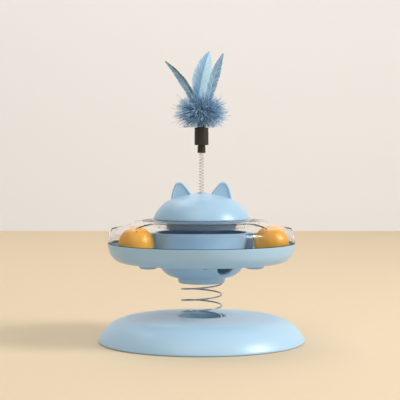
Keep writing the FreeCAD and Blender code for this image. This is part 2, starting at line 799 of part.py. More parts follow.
def make_head():
    """The cat-head lid with its plug, the cap that closes the plug, and the wand's socket."""
    head = new_body("cat_head_lid")
    rim = S["seat_height"]
    radius, wall = S["head_radius"], S["head_wall"]
    side_round, crown_round = S["head_side_round"], S["head_crown_round"]
    brow, brow_height = S["head_brow_radius"], S["head_brow_height"]
    top = S["head_top"]
    revolve(head, "dome", [
        (0, rim),
        (radius - 0.6, rim, 0.8, "left"),
        (radius, rim + 0.8, side_round, "left"),
        (brow, brow_height, crown_round, "left"),
        (0, top),
    ])
    ears(head, top)
    groove(head, "hollow", [
        (0, rim - 0.5),
        (radius - wall + 0.1, rim - 0.5),
        (radius - wall + 0.1, rim, side_round - wall, "left"),
        (brow - 0.9, brow_height - 2.0, crown_round - wall, "left"),
        (0, top - wall),
    ])
    plug, foot = S["plug_radius"], S["plug_foot"]
    sketch = new_sketch(head, "plug_outline", "XY_Plane", lift=foot)
    draw_circle(sketch, 0, 0, plug)
    draw_circle(sketch, 0, 0, plug - 2)
    pad(head, "plug", sketch, brow_height - foot - 3.1)
    sketch = new_sketch(head, "plug_ribs_outline")
    for rise in (1.3, 3.5, 5.7):
        draw_outline(sketch, rectangle(plug - 0.5, foot + rise, plug + 0.9, foot + rise + 0.8))
    ribs = head.newObject("PartDesign::Revolution", "plug_ribs")
    ribs.Profile = sketch
    ribs.ReferenceAxis = (sketch, ["V_Axis"])
    ribs.Angle = 360
    ring_of_posts(head, "cap_post", plug - 10, 3.0, 90, foot + 3.2, 25.0, 3)
    ring_of_holes(head, "cap_post_bore", plug - 10, S["screw_shank_radius"], 90, foot + 3.2, 9, 3)
    sketch = new_sketch(head, "wand_hole_circle", "XY_Plane", lift=top - 10)
    draw_circle(sketch, 0, 0, S["wand_hole_radius"])
    pocket(head, "wand_hole", sketch, 20)

    cap = new_body("plug_cap")
    revolve(cap, "disc", [
        (0, foot),
        (plug - 2.8, foot),
        (plug - 2.2, foot + 0.6),
        (plug - 2.2, foot + 3.2),
        (0, foot + 3.2),
    ])
    ring_of_holes(cap, "head_recess", plug - 10, S["screw_head_radius"] + 0.5, 90, foot, 1.8, 3)
    ring_of_holes(cap, "screw_hole", plug - 10, S["screw_shank_radius"] + 0.3, 90, foot, 4, 3)
    screws("cap_screws", plug.value - 10, 90, 3, foot.value + 0.2, 9.5)

    socket = new_body("wand_socket")
    bore, outer = S["wand_bore_radius"], S["wand_hole_radius"] - 0.2
    revolve(socket, "sleeve", [
        (0, top - 14.1),
        (outer, top - 14.1),
        (outer, top - 5.0),
        (outer + 3.6, top - 5.0),
        (outer + 3.6, top - 3.0),
        (outer, top - 3.0),
        (outer, top + 0.2, 0.8, "left"),
        (outer - 0.8, top + 1.0),
        (bore, top + 1.0),
        (bore, S["wand_foot"] - 0.6),
        (0, S["wand_foot"] - 0.6),
    ])


def ears(head, top):
    """Two upright rounded ears, each with a shallow hollow in its front."""
    tip, tip_height = S["ear_tip_across"], S["ear_tip_height"]
    thickness = S["ear_thickness"]
    sketch = new_sketch(head, "ear_outline")
    draw_outline(sketch, [
        (tip - 12.7, top - 8),
        (tip + 7.5, top - 9),
        (tip + 7.9, tip_height - 16.6, 36, "left"),
        (tip + 4.6, tip_height - 3.8, 5.4, "left"),
        (tip - 3.7, tip_height - 1.1, 53, "left"),
        (tip - 12.7, tip_height - 12.6),
    ])
    ear = pad(head, "ear", sketch, thickness, midplane=True)
    sketch = new_sketch(head, "ear_hollow_outline", lift=thickness / 2)
    draw_outline(sketch, [
        (tip - 9.0, top - 2.2),
        (tip + 5.6, top - 4.6),
        (tip + 5.5, tip_height - 14.6, 34, "left"),
        (tip + 2.9, tip_height - 5.0, 3.2, "left"),
        (tip - 2.1, tip_height - 3.4, 50, "left"),
        (tip - 9.0, tip_height - 12.0),
    ])
    hollow = pocket(head, "ear_hollow", sketch, 1.4, upwards=False)
    mirror = head.newObject("PartDesign::Mirrored", "second_ear")
    mirror.Originals = [ear, hollow]
    mirror.MirrorPlane = (origin_item(head, "YZ_Plane"), [""])
    head.Tip = mirror


def make_wand():
    """The thin spring of the teaser, its ferrule and the cap that holds the feathers."""
    pitch, wire = S["wand_pitch"].value, S["wand_wire"].value
    bottom = S["wand_foot"].value
    top = S["ferrule_foot"].value + 3.8
    climb = (top - bottom) / pitch * 360
    half_turns = 39
    flat = (half_turns * 180 - climb) / 2
    height_at = eased_climb(0, climb, bottom, pitch, 45)
    coil("wand_spring", S["wand_coil_radius"].value, wire, height_at, -flat, 180, half_turns)

    ferrule = new_body("wand_ferrule")
    foot, bore, outer = S["ferrule_foot"], S["wand_bore_radius"], S["ferrule_radius"]
    revolve(ferrule, "cup", [
        (bore, foot),
        (outer, foot),
        (outer, S["feather_cap_foot"]),
        (0, S["feather_cap_foot"]),
        (0, foot + 4.4),
        (bore, foot + 4.4),
    ])

    cap = new_body("feather_cap")
    radius, low, high = S["feather_cap_radius"], S["feather_cap_foot"], S["feather_cap_top"]
    revolve(cap, "sleeve", [
        (0, low),
        (radius - 0.7, low, 0.7, "left"),
        (radius, low + 0.7),
        (radius, high - 0.7, 0.7, "left"),
        (radius - 0.7, high),
        (radius - 2.4, high),
        (radius - 2.4, low + 6.8),
        (0, low + 6.8),
    ])


def make_plume():
    """The tinsel pompom and its three feathers."""
    pompom = new_body("tinsel_pompom")
    radius, middle, bend = S["pompom_radius"], S["pompom_middle"], S["pompom_round"]
    stem, cap_top = S["feather_cap_radius"] - 2.5, S["feather_cap_top"]
    revolve(pompom, "tuft", [
        (0, S["feather_cap_foot"] + 6.9),
        (stem, S["feather_cap_foot"] + 6.9),
        (stem, cap_top + 0.1),
        (radius - 11, cap_top + 0.1, bend, "left"),
        (radius, middle, bend, "left"),
        (radius - bend, middle + bend),
        (0, middle + bend),
    ])
    feather("feather_left", (-5, -3, 234), (-36.5, -4, 280), 3.0, 5.0)
    feather("feather_middle", (0, 2, 236), (6.5, 3, 290), -2.0, 7.5)
    feather("feather_right", (5, -3, 235), (21.5, -4, 287), 2.0, 5.0)


def feather(label, root, tip, bow, half_width):
    """A leaf-shaped feather lofted through thin lens-shaped sections along a gently bowed quill."""
    root, tip = FreeCAD.Vector(*root), FreeCAD.Vector(*tip)
    along = (tip - root).normalize()
    flat = FreeCAD.Vector(0, 1, 0)
    side = along.cross(flat).normalize()
    sections = []
    stations = ((0, 0.16, 0.8), (0.2, 0.5, 0.7), (0.5, 1.0, 0.6), (0.8, 0.6, 0.4), (1, 0.05, 0.25))
    for share, width, thickness in stations:
        middle = root + (tip - root) * share + side * bow * 4 * share * (1 - share)
        reach = side * half_width * width
        front = Part.Arc(middle - reach, middle - flat * thickness, middle + reach)
        back = Part.Arc(middle + reach, middle + flat * thickness, middle - reach)
        sections.append(Part.Wire([front.toShape(), back.toShape()]))
    return loose_part(label, Part.makeLoft(sections, True, False))


def main():
    """Builds every sub-part, checks the document and writes one file for each sub-part."""
    make_base()
    make_main_spring()
    make_hub()
    clamp = new_body("upper_spring_clamp")
    clamp_foot = S["hub_ceiling_height"] - CLAMP_HEIGHT
    spring_clamp(clamp, clamp_foot, clamp_foot)
    screws("upper_clamp_screws", S["clamp_core_radius"].value - 7, 30, 3, clamp_foot.value - 1.6, 10)
    make_tray()
    make_cup()
    ring, turn = S["hub_screw_circle"].value, S["hub_screw_angle"].value
    screws("hub_screws", ring, turn, 3, S["tray_underside"].value - 3.4, 9.5)
    make_chute("right_chute", 0)
    make_chute("left_chute", 180)
    make_cover()
    make_ball("left_ball", "left_ball_angle")
    make_ball("right_ball", "right_ball_angle")
    make_head()
    make_wand()
    make_plume()
    doc.recompute()
    write_parts()


def write_parts():
    """Stops on any failed object, then writes each sub-part under its own name."""
    for item in doc.Objects:
        if "Invalid" in item.State or "Error" in item.State:
            raise RuntimeError("{} failed: {}".format(item.Name, item.State))
    kinds = ("PartDesign::Body", "Part::Feature", "Part::Sphere")
    sub_parts = [item for item in doc.Objects if item.TypeId in kinds]
    for item in sub_parts:
        if item.Shape.isNull() or not item.Shape.isValid():
            raise RuntimeError("{} has no sound shape".format(item.Label))
    for item in sub_parts:
        item.Shape.exportStep("parts/{}.step".format(item.Label))
        print("{}: {:.0f} mm3, {} solid(s)".format(item.Label, item.Shape.Volume, len(item.Shape.Solids)))


main()
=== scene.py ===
import logging
import math
import random
from dataclasses import dataclass, field
from enum import Enum
from typing import Callable, Iterable, Sequence, Union

import bmesh
import bpy
from bmesh.types import BMEdge, BMesh, BMFace, BMLayerItem, BMVert
from bpy.types import ID, Material, Node, NodeSocket, NodeTree, Object, bpy_prop_collection
from mathutils import Matrix, Vector


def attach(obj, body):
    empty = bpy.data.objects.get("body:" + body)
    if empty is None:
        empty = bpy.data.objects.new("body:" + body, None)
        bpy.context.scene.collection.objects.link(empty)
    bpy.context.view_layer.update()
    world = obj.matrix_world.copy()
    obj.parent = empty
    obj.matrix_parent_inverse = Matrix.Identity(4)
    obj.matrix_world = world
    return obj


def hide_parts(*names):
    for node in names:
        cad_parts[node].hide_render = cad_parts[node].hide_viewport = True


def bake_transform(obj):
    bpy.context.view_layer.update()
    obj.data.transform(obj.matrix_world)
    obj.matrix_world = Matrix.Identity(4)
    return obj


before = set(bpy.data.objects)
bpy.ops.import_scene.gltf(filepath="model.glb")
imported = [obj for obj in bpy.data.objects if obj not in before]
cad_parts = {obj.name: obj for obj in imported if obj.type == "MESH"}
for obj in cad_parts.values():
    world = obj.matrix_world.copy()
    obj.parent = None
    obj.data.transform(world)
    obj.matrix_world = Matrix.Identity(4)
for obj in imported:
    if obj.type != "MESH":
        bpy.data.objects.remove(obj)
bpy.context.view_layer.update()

LOG = logging.getLogger("spring_cat_toy")
MM = 0.001
FULL_TURN = 2 * math.pi
ROUND_STEPS = 160
HARD_ANGLE = math.radians(35)
ARC_STEP = 1.1

Colour = tuple[float, float, float]
Point = tuple[float, float, float]
Feed = Union[NodeSocket, float, Sequence[float]]


class Body(str, Enum):
    """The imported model's rigid bodies."""

    BASE = "base"
    SPRING_FOOT = "spring_foot"
    SPRING_HEAD = "spring_head"
    SAUCER = "saucer"
    FIRST_BALL = "first_ball"
    SECOND_BALL = "second_ball"
    LID = "lid"
    WAND = "wand"
    TEASER = "teaser"


class Slot(str, Enum):
    """The record's material slots."""

    BLUE = "blue_plastic"
    CLEAR = "clear_plastic"
    AMBER = "ball_plastic"
    DARK = "dark_plastic"
    SPRING = "spring_steel"
    SCREW = "screw_steel"
    IRON = "weight_iron"
    RUBBER = "foot_rubber"
    TINSEL = "tinsel"
    FEATHER = "feather"


# Outlines and meshes.


@dataclass(frozen=True)
class Corner:
    """A corner of an outline, in millimetres.

    arc is the radius of the side to the next corner, positive where it turns left, and 0 for a
    straight side. soften rounds the corner itself.
    """

    across: float
    up: float
    arc: float = 0.0
    soften: float = 0.0


def arc_points(first: Corner, last: Corner, steps: int) -> list[tuple[float, float]]:
    """The points between two corners along the first one's arc.

    Args:
        first: the corner that holds the arc's signed radius.
        last: the corner that the arc runs to.
        steps: how many equal steps the arc is cut into.

    Returns:
        The inner points, without the two corners.
    """
    chord = Vector((last.across - first.across, last.up - first.up))
    side = Vector((-chord.y, chord.x)).normalized() * math.copysign(1, first.arc)
    radius = abs(first.arc)
    half = chord.length / 2
    centre = Vector((first.across, first.up)) + chord / 2 + side * math.sqrt(max(radius**2 - half**2, 0))
    start = math.atan2(first.up - centre.y, first.across - centre.x)
    sweep = math.copysign(2 * math.asin(min(half / radius, 1)), first.arc)
    return [
        (centre.x + radius * math.cos(start + sweep * step / steps),
         centre.y + radius * math.sin(start + sweep * step / steps))
        for step in range(1, steps)
    ]


def draw_outline(bm: BMesh, corners: Sequence[Corner], closed: bool) -> None:
    """Draws an outline in the XZ plane as a chain of edges.

    Args:
        bm: the mesh that takes the chain.
        corners: the outline's corners in order.
        closed: whether the last corner joins the first.
    """
    chain = []
    soft = []
    for index, corner in enumerate(corners):
        vert = bm.verts.new((corner.across * MM, 0, corner.up * MM))
        chain.append(vert)
        if corner.soften:
            soft.append((vert, corner.soften))
        if corner.arc:
            follower = corners[(index + 1) % len(corners)]
            reach = math.dist((corner.across, corner.up), (follower.across, follower.up))
            steps = min(max(4, int(reach / ARC_STEP)), 40)
            chain += [bm.verts.new((x * MM, 0, z * MM)) for x, z in arc_points(corner, follower, steps)]
    for first, last in zip(chain, chain[1:]):
        bm.edges.new((first, last))
    if closed:
        bm.edges.new((chain[-1], chain[0]))
    for vert, size in soft:
        bmesh.ops.bevel(bm, geom=[vert], offset=size * MM, offset_type="OFFSET", segments=4, profile=0.5,
                        affect="VERTICES", material=-1)


def turned(name: str, corners: Sequence[Corner], closed: bool = True,
           steps: int = ROUND_STEPS) -> Object:
    """A shape of revolution from an outline.

    Args:
        name: the piece's name.
        corners: the outline, at X above or on the axis.
        closed: False where the outline starts and ends on the axis.
        steps: how many steps the full turn has.

    Returns:
        The finished object.
    """
    bm = bmesh.new()
    draw_outline(bm, corners, closed)
    bmesh.ops.spin(bm, geom=bm.verts[:] + bm.edges[:], cent=(0, 0, 0), axis=(0, 0, 1), angle=FULL_TURN,
                   steps=steps, use_merge=True)
    bmesh.ops.remove_doubles(bm, verts=bm.verts[:], dist=1e-6)
    bmesh.ops.recalc_face_normals(bm, faces=bm.faces[:])
    return finished(bm, name)


def box_tool(low: Sequence[float], high: Sequence[float], turn: float = 0.0) -> Object:
    """A box to cut or join with.

    Args:
        low: its lowest corner, in millimetres.
        high: its highest corner.
        turn: how far it is turned about the upright axis, in degrees.

    Returns:
        The box.
    """
    bm = bmesh.new()
    bmesh.ops.create_cube(bm, size=1)
    size = [b - a for a, b in zip(low, high)]
    middle = [(a + b) / 2 for a, b in zip(low, high)]
    bmesh.ops.scale(bm, vec=Vector(size) * MM, verts=bm.verts[:])
    bmesh.ops.translate(bm, vec=Vector(middle) * MM, verts=bm.verts[:])
    turning = Matrix.Rotation(math.radians(turn), 3, "Z")
    bmesh.ops.rotate(bm, cent=(0, 0, 0), matrix=turning, verts=bm.verts[:])
    return finished(bm, "tool")


def rod_tool(middle: Sequence[float], way: Sequence[float], radius: float, length: float) -> Object:
    """A rod to cut or join with.

    Args:
        middle: its middle, in millimetres.
        way: the direction it lies along.
        radius: its radius.
        length: its length.

    Returns:
        The rod.
    """
    bm = bmesh.new()
    bmesh.ops.create_cone(bm, cap_ends=True, segments=96, radius1=radius * MM, radius2=radius * MM,
                          depth=length * MM)
    turning = Vector((0, 0, 1)).rotation_difference(Vector(way)).to_matrix()
    bmesh.ops.rotate(bm, cent=(0, 0, 0), matrix=turning, verts=bm.verts[:])
    bmesh.ops.translate(bm, vec=Vector(middle) * MM, verts=bm.verts[:])
    return finished(bm, "tool")


def prism(corners: Sequence[Corner], half: float) -> BMesh:
    """A flat outline drawn out to a block.

    Args:
        corners: the outline, in the XZ plane.
        half: how far the block reaches to each side of that plane, in millimetres.

    Returns:
        The open mesh.
    """
    bm = bmesh.new()
    draw_outline(bm, corners, closed=True)
    face = bmesh.ops.contextual_create(bm, geom=bm.edges[:])["faces"][0]
    push(bm, face, (0, 2 * half * MM, 0))
    bmesh.ops.translate(bm, verts=bm.verts[:], vec=(0, -half * MM, 0))
    bmesh.ops.recalc_face_normals(bm, faces=bm.faces[:])
    return bm


def push(bm: BMesh, face: BMFace, vec: Point) -> None:
    """Extrudes a face.

    Args:
        bm: the mesh that holds it.
        face: the face.
        vec: how far and which way it goes, in metres.
    """
    block = bmesh.ops.extrude_face_region(bm, geom=[face])
    moved = [item for item in block["geom"] if isinstance(item, BMVert)]
    bmesh.ops.translate(bm, verts=moved, vec=vec)


def heading(turn: float) -> Vector:
    """The level direction at an angle in degrees from +X."""
    return Vector((math.cos(math.radians(turn)), math.sin(math.radians(turn)), 0))


def mark_edges(bm: BMesh) -> None:
    """Shades every face smooth and every sharp edge hard.

    Args:
        bm: the mesh that is marked.
    """
    for face in bm.faces:
        face.smooth = True
    for edge in bm.edges:
        if len(edge.link_faces) == 2:
            edge.smooth = edge.calc_face_angle(0) < HARD_ANGLE


def placed(name: str, data: ID) -> Object:
    """A new object in the scene.

    Args:
        name: its name.
        data: the mesh, lamp or camera that it holds.

    Returns:
        The object.
    """
    piece = bpy.data.objects.new(name, data)
    bpy.context.scene.collection.objects.link(piece)
    return piece


def finished(bm: BMesh, name: str) -> Object:
    """Turns a bmesh into an object at the origin, with its place in its mesh.

    Args:
        bm: the mesh, which is freed.
        name: the object's name.

    Returns:
        The object.
    """
    mark_edges(bm)
    mesh = bpy.data.meshes.new(name)
    bm.to_mesh(mesh)
    bm.free()
    return placed(name, mesh)


def combine(piece: Object, tools: Iterable[Object], operation: str) -> None:
    """Joins tools to a piece, or cuts them out of it, and removes the tools.

    Args:
        piece: the piece that is changed.
        tools: the objects it is changed with.
        operation: "UNION" or "DIFFERENCE".
    """
    for tool in tools:
        modifier = piece.modifiers.new(operation.lower(), "BOOLEAN")
        modifier.operation = operation
        modifier.solver = "EXACT"
        modifier.object = tool
        depsgraph = bpy.context.evaluated_depsgraph_get()
        mesh = bpy.data.meshes.new_from_object(piece.evaluated_get(depsgraph))
        piece.modifiers.clear()
        old = piece.data
        piece.data = mesh
        bpy.data.meshes.remove(old)
        bpy.data.objects.remove(tool)
    reshape(piece, mark_edges)


def reshape(piece: Object, change: Callable[[BMesh], None]) -> None:
    """Runs a change on a piece's mesh through a bmesh.

    Args:
        piece: the piece.
        change: what is done to its mesh.
    """
    bm = bmesh.new()
    bm.from_mesh(piece.data)
    change(bm)
    bm.to_mesh(piece.data)
    bm.free()


def round_edges(piece: Object, size: float, wanted: Callable[[BMEdge], bool],
                segments: int = 3) -> None:
    """Rounds the hard edges of a piece that wanted picks.

    Args:
        piece: the piece.
        size: the rounding in millimetres.
        wanted: says whether a hard edge is rounded.
        segments: how many steps the rounding has.
    """

    def change(bm: BMesh) -> None:
        """Merges what the cuts left doubled and bevels the picked edges.

        Args:
            bm: the piece's open mesh.
        """
        bmesh.ops.remove_doubles(bm, verts=bm.verts[:], dist=2e-6)
        bmesh.ops.dissolve_degenerate(bm, edges=bm.edges[:], dist=1e-6)
        edges = [
            edge for edge in bm.edges
            if len(edge.link_faces) == 2 and edge.calc_face_angle(0) > HARD_ANGLE and wanted(edge)
        ]
        bmesh.ops.bevel(bm, geom=edges, offset=size * MM, offset_type="OFFSET", segments=segments,
                        profile=0.5, affect="EDGES", material=-1, clamp_overlap=True)
        mark_edges(bm)

    reshape(piece, change)


def wire_along(name: str, points: Sequence[Vector], radius: float, sides: int = 3) -> Object:
    """A round wire through points, with closed ends.

    Args:
        name: the piece's name.
        points: the middle line, in metres.
        radius: the wire's radius in metres.
        sides: the roundness of the wire, as a curve's bevel resolution.

    Returns:
        The wire as a mesh object.
    """
    curve = bpy.data.curves.new(name, "CURVE")
    curve.dimensions = "3D"
    curve.bevel_depth = radius
    curve.bevel_resolution = sides
    curve.use_fill_caps = True
    spline = curve.splines.new("POLY")
    spline.points.add(len(points) - 1)
    for target, point in zip(spline.points, points):
        target.co = (*point, 1)
    holder = bpy.data.objects.new(name, curve)
    mesh = bpy.data.meshes.new_from_object(holder)
    bpy.data.objects.remove(holder)
    bpy.data.curves.remove(curve)
    bm = bmesh.new()
    bm.from_mesh(mesh)
    bpy.data.meshes.remove(mesh)
    bmesh.ops.remove_doubles(bm, verts=bm.verts[:], dist=1e-7)
    bmesh.ops.recalc_face_normals(bm, faces=bm.faces[:])
    return finished(bm, name)


# Shader groups and finishes.


def linear(colour: Colour) -> tuple[float, float, float, float]:
    """A screen colour as the linear colour that a shader takes."""
    return tuple(c / 12.92 if c <= 0.04045 else ((c + 0.055) / 1.055) ** 2.4 for c in colour) + (1.0,)


def fill(tree: NodeTree, node: Node,
         values: dict[Union[str, int], Feed]) -> Node:
    """Links or sets a node's inputs.

    Args:
        tree: the tree that holds the node.
        node: the node.
        values: a socket, number or colour for each input, by label or place.

    Returns:
        The same node.
    """
    for key, value in values.items():
        if isinstance(value, NodeSocket):
            tree.links.new(value, node.inputs[key])
        else:
            node.inputs[key].default_value = value
    return node


def add_node(tree: NodeTree, kind: str, values: dict[Union[str, int], Feed]) -> Node:
    """Adds a shader node of a kind and fills its inputs."""
    return fill(tree, tree.nodes.new("ShaderNode" + kind), values)


def mix_colours(tree: NodeTree, share: Feed, first: Feed, second: Feed) -> NodeSocket:
    """Two colours mixed.

    Args:
        tree: the tree that takes the node.
        share: how much of the second is seen, 0 to 1.
        first: the one colour.
        second: the other.

    Returns:
        The mixed colour.
    """
    node = tree.nodes.new("ShaderNodeMix")
    node.data_type = "RGBA"
    return fill(tree, node, {0: share, 6: first, 7: second}).outputs[2]


def maths(tree: NodeTree, operation: str, *values: Feed) -> NodeSocket:
    """One step of arithmetic.

    Args:
        tree: the tree that takes the node.
        operation: the step's name.
        values: what it works on, in order.

    Returns:
        The result.
    """
    node = tree.nodes.new("ShaderNodeMath")
    node.operation = operation
    return fill(tree, node, dict(enumerate(values))).outputs[0]


class GroupMaker:
    """Builds each shared shader group once and hands it out by name."""

    def __init__(self) -> None:
        """Starts with no group built."""
        self.built: dict[str, NodeTree] = {}

    def get(self, name: str) -> NodeTree:
        """Hands out a group, built at its first use.

        Args:
            name: the name of the group and of the method that builds it.

        Returns:
            The group's tree.
        """
        if name not in self.built:
            self.built[name] = getattr(self, name)()
        return self.built[name]

    @staticmethod
    def start(name: str, colours: Sequence[str], numbers: dict[str, float],
              outputs: Sequence[str]) -> tuple[NodeTree, Node, Node]:
        """An empty group with its sockets.

        Args:
            name: the group's name.
            colours: the inputs that take a colour.
            numbers: the inputs that take a number, with their plain values.
            outputs: what it puts out, a colour first and then numbers.

        Returns:
            The tree, its input node and its output node.
        """
        tree = bpy.data.node_groups.new(name, "ShaderNodeTree")
        sockets = tree.interface
        for label in colours:
            sockets.new_socket(name=label, in_out="INPUT", socket_type="NodeSocketColor")
        for label, value in numbers.items():
            socket = sockets.new_socket(name=label, in_out="INPUT", socket_type="NodeSocketFloat")
            socket.default_value = value
        sockets.new_socket(name=outputs[0], in_out="OUTPUT", socket_type="NodeSocketColor")
        for label in outputs[1:]:
            sockets.new_socket(name=label, in_out="OUTPUT", socket_type="NodeSocketFloat")
        return tree, tree.nodes.new("NodeGroupInput"), tree.nodes.new("NodeGroupOutput")

    @staticmethod
    def noise(tree: NodeTree, scale: Feed, detail: float,
              stretch: Sequence[float] = (1, 1, 1)) -> NodeSocket:
        """A noise pattern fixed to the piece.

        Args:
            tree: the group's tree.
            scale: how many cells there are to the metre.
            detail: how many finer layers lie over it.
            stretch: how much closer the cells lie along each axis.

        Returns:
            The pattern, 0 to 1.
        """
        place = tree.nodes.new("ShaderNodeTexCoord").outputs["Object"]
        spread = add_node(tree, "Mapping", {"Vector": place, "Scale": stretch}).outputs["Vector"]
        noise = add_node(tree, "TexNoise", {"Vector": spread, "Scale": scale, "Detail": detail})
        return noise.outputs["Fac"]

    @staticmethod
    def tint(tree: NodeTree, colour: Feed, factor: Feed) -> NodeSocket:
        """A colour made lighter or darker.

        Args:
            tree: the group's tree.
            colour: the colour.
            factor: how much lighter, round 1.

        Returns:
            The new colour.
        """
        node = tree.nodes.new("ShaderNodeVectorMath")
        node.operation = "SCALE"
        return fill(tree, node, {0: colour, "Scale": factor}).outputs[0]

    @staticmethod
    def around(tree: NodeTree, pattern: Feed, spread: Feed, middle: Feed) -> NodeSocket:
        """A pattern of 0 to 1 spread evenly round a middle value."""
        return maths(tree, "MULTIPLY_ADD", maths(tree, "SUBTRACT", pattern, 0.5), spread, middle)

    def moulded_skin(self) -> NodeTree:
        """Injection-moulded plastic: cloudy tone, uneven gloss, a fine spark-eroded grain.

        Returns:
            The group's tree.
        """
        tree, source, sink = self.start(
            "moulded_skin", ("Colour",), {"Clouding": 0.05, "Roughness": 0.4, "Unevenness": 0.1},
            ("Colour", "Roughness", "Grain"))
        given = source.outputs
        tone = self.around(tree, self.noise(tree, 28, 3), given["Clouding"], 1.0)
        gloss = self.around(tree, self.noise(tree, 170, 4), given["Unevenness"], given["Roughness"])
        fill(tree, sink, {"Colour": self.tint(tree, given["Colour"], tone), "Roughness": gloss,
                          "Grain": self.noise(tree, 3200, 2)})
        return tree

    def drawn_metal(self) -> NodeTree:
        """Drawn or plated steel: fine streaks and a patchy shine.

        Returns:
            The group's tree.
        """
        tree, source, sink = self.start(
            "drawn_metal", ("Colour",), {"Patching": 0.15, "Roughness": 0.3, "Streaking": 0.25},
            ("Colour", "Roughness", "Grain"))
        given = source.outputs
        tone = self.around(tree, self.noise(tree, 420, 3), given["Patching"], 1.0)
        streaks = self.noise(tree, 900, 3, (1, 1, 6))
        gloss = self.around(tree, streaks, given["Streaking"], given["Roughness"])
        fill(tree, sink, {"Colour": self.tint(tree, given["Colour"], tone), "Roughness": gloss,
                          "Grain": streaks})
        return tree

    def fibre_tone_and_shade(self) -> NodeTree:
        """Fibres, darker at the root and paler at the tip, each with a tone of its own; on the tinsel the
        darker roots are painted shade inside the tuft and the paler tips a painted sheen.

        Returns:
            The group's tree.
        """
        tree, source, sink = self.start(
            "fibre_tone_and_shade", ("Colour", "Pale"), {"Shift": 0.4, "Fineness": 900.0}, ("Colour", "Grain"))
        given = source.outputs
        place = tree.nodes.new("ShaderNodeTexCoord").outputs["UV"]
        layer = add_node(tree, "SeparateXYZ", {0: place}).outputs
        pattern = self.noise(tree, given["Fineness"], 3)
        share = self.around(tree, pattern, 0.8, layer["Y"])
        dyed = mix_colours(tree, share, given["Colour"], given["Pale"])
        tone = self.around(tree, layer["X"], given["Shift"], 1.0)
        fill(tree, sink, {"Colour": self.tint(tree, dyed, tone), "Grain": pattern})
        return tree


GROUPS = GroupMaker()


@dataclass(frozen=True)
class Finish:
    """A material built on one Principled shader and one shared group."""

    name: str
    slot: Slot
    colour: Colour

    def build(self) -> Material:
        """Makes the material, once.

        Returns:
            The material.
        """
        ready = bpy.data.materials.get(self.name)
        if ready is not None:
            return ready
        material = bpy.data.materials.new(self.name)
        material.use_nodes = True
        material.diffuse_color = linear(self.colour)
        self.wire(material.node_tree, material.node_tree.nodes["Principled BSDF"])
        return material

    def wire(self, tree: NodeTree, shader: Node) -> None:
        """Fills and links the shader; each kind of finish has its own."""
        raise NotImplementedError

    def group(self, tree: NodeTree, name: str,
              values: dict[str, Feed]) -> bpy_prop_collection:
        """Places a shared group in a material.

        Args:
            tree: the material's tree.
            name: the group's name.
            values: the group's inputs, besides the finish's own colour.

        Returns:
            What the group puts out.
        """
        node = tree.nodes.new("ShaderNodeGroup")
        node.node_tree = GROUPS.get(name)
        return fill(tree, node, {"Colour": linear(self.colour), **values}).outputs

    def bump(self, tree: NodeTree, shader: Node, height: Feed, depth: float) -> None:
        """Feeds a height to the shader's normal; depth is in millimetres."""
        node = add_node(tree, "Bump", {"Strength": 1.0, "Distance": depth * MM, "Height": height})
        fill(tree, shader, {"Normal": node.outputs["Normal"]})


@dataclass(frozen=True)
class MouldedPlastic(Finish):
    """Opaque moulded plastic or rubber."""

    roughness: float = 0.4
    clouding: float = 0.05
    unevenness: float = 0.1
    grain: float = 0.006

    def wire(self, tree: NodeTree, shader: Node) -> None:
        """Links the moulded skin to colour, roughness and bump.

        Args:
            tree: the material's tree.
            shader: its Principled shader.
        """
        skin = self.group(tree, "moulded_skin", {
            "Clouding": self.clouding, "Roughness": self.roughness, "Unevenness": self.unevenness})
        fill(tree, shader, {"Base Color": skin["Colour"], "Roughness": skin["Roughness"], "IOR": 1.5})
        self.bump(tree, shader, skin["Grain"], self.grain)


@dataclass(frozen=True)
class Steel(Finish):
    """Bare or plated steel and iron."""

    roughness: float = 0.3
    patching: float = 0.15
    streaking: float = 0.25
    grain: float = 0.004

    def wire(self, tree: NodeTree, shader: Node) -> None:
        """Links the metal group to colour, roughness and bump.

        Args:
            tree: the material's tree.
            shader: its Principled shader.
        """
        skin = self.group(tree, "drawn_metal", {
            "Patching": self.patching, "Roughness": self.roughness, "Streaking": self.streaking})
        fill(tree, shader, {"Base Color": skin["Colour"], "Roughness": skin["Roughness"], "Metallic": 1.0})
        self.bump(tree, shader, skin["Grain"], self.grain)


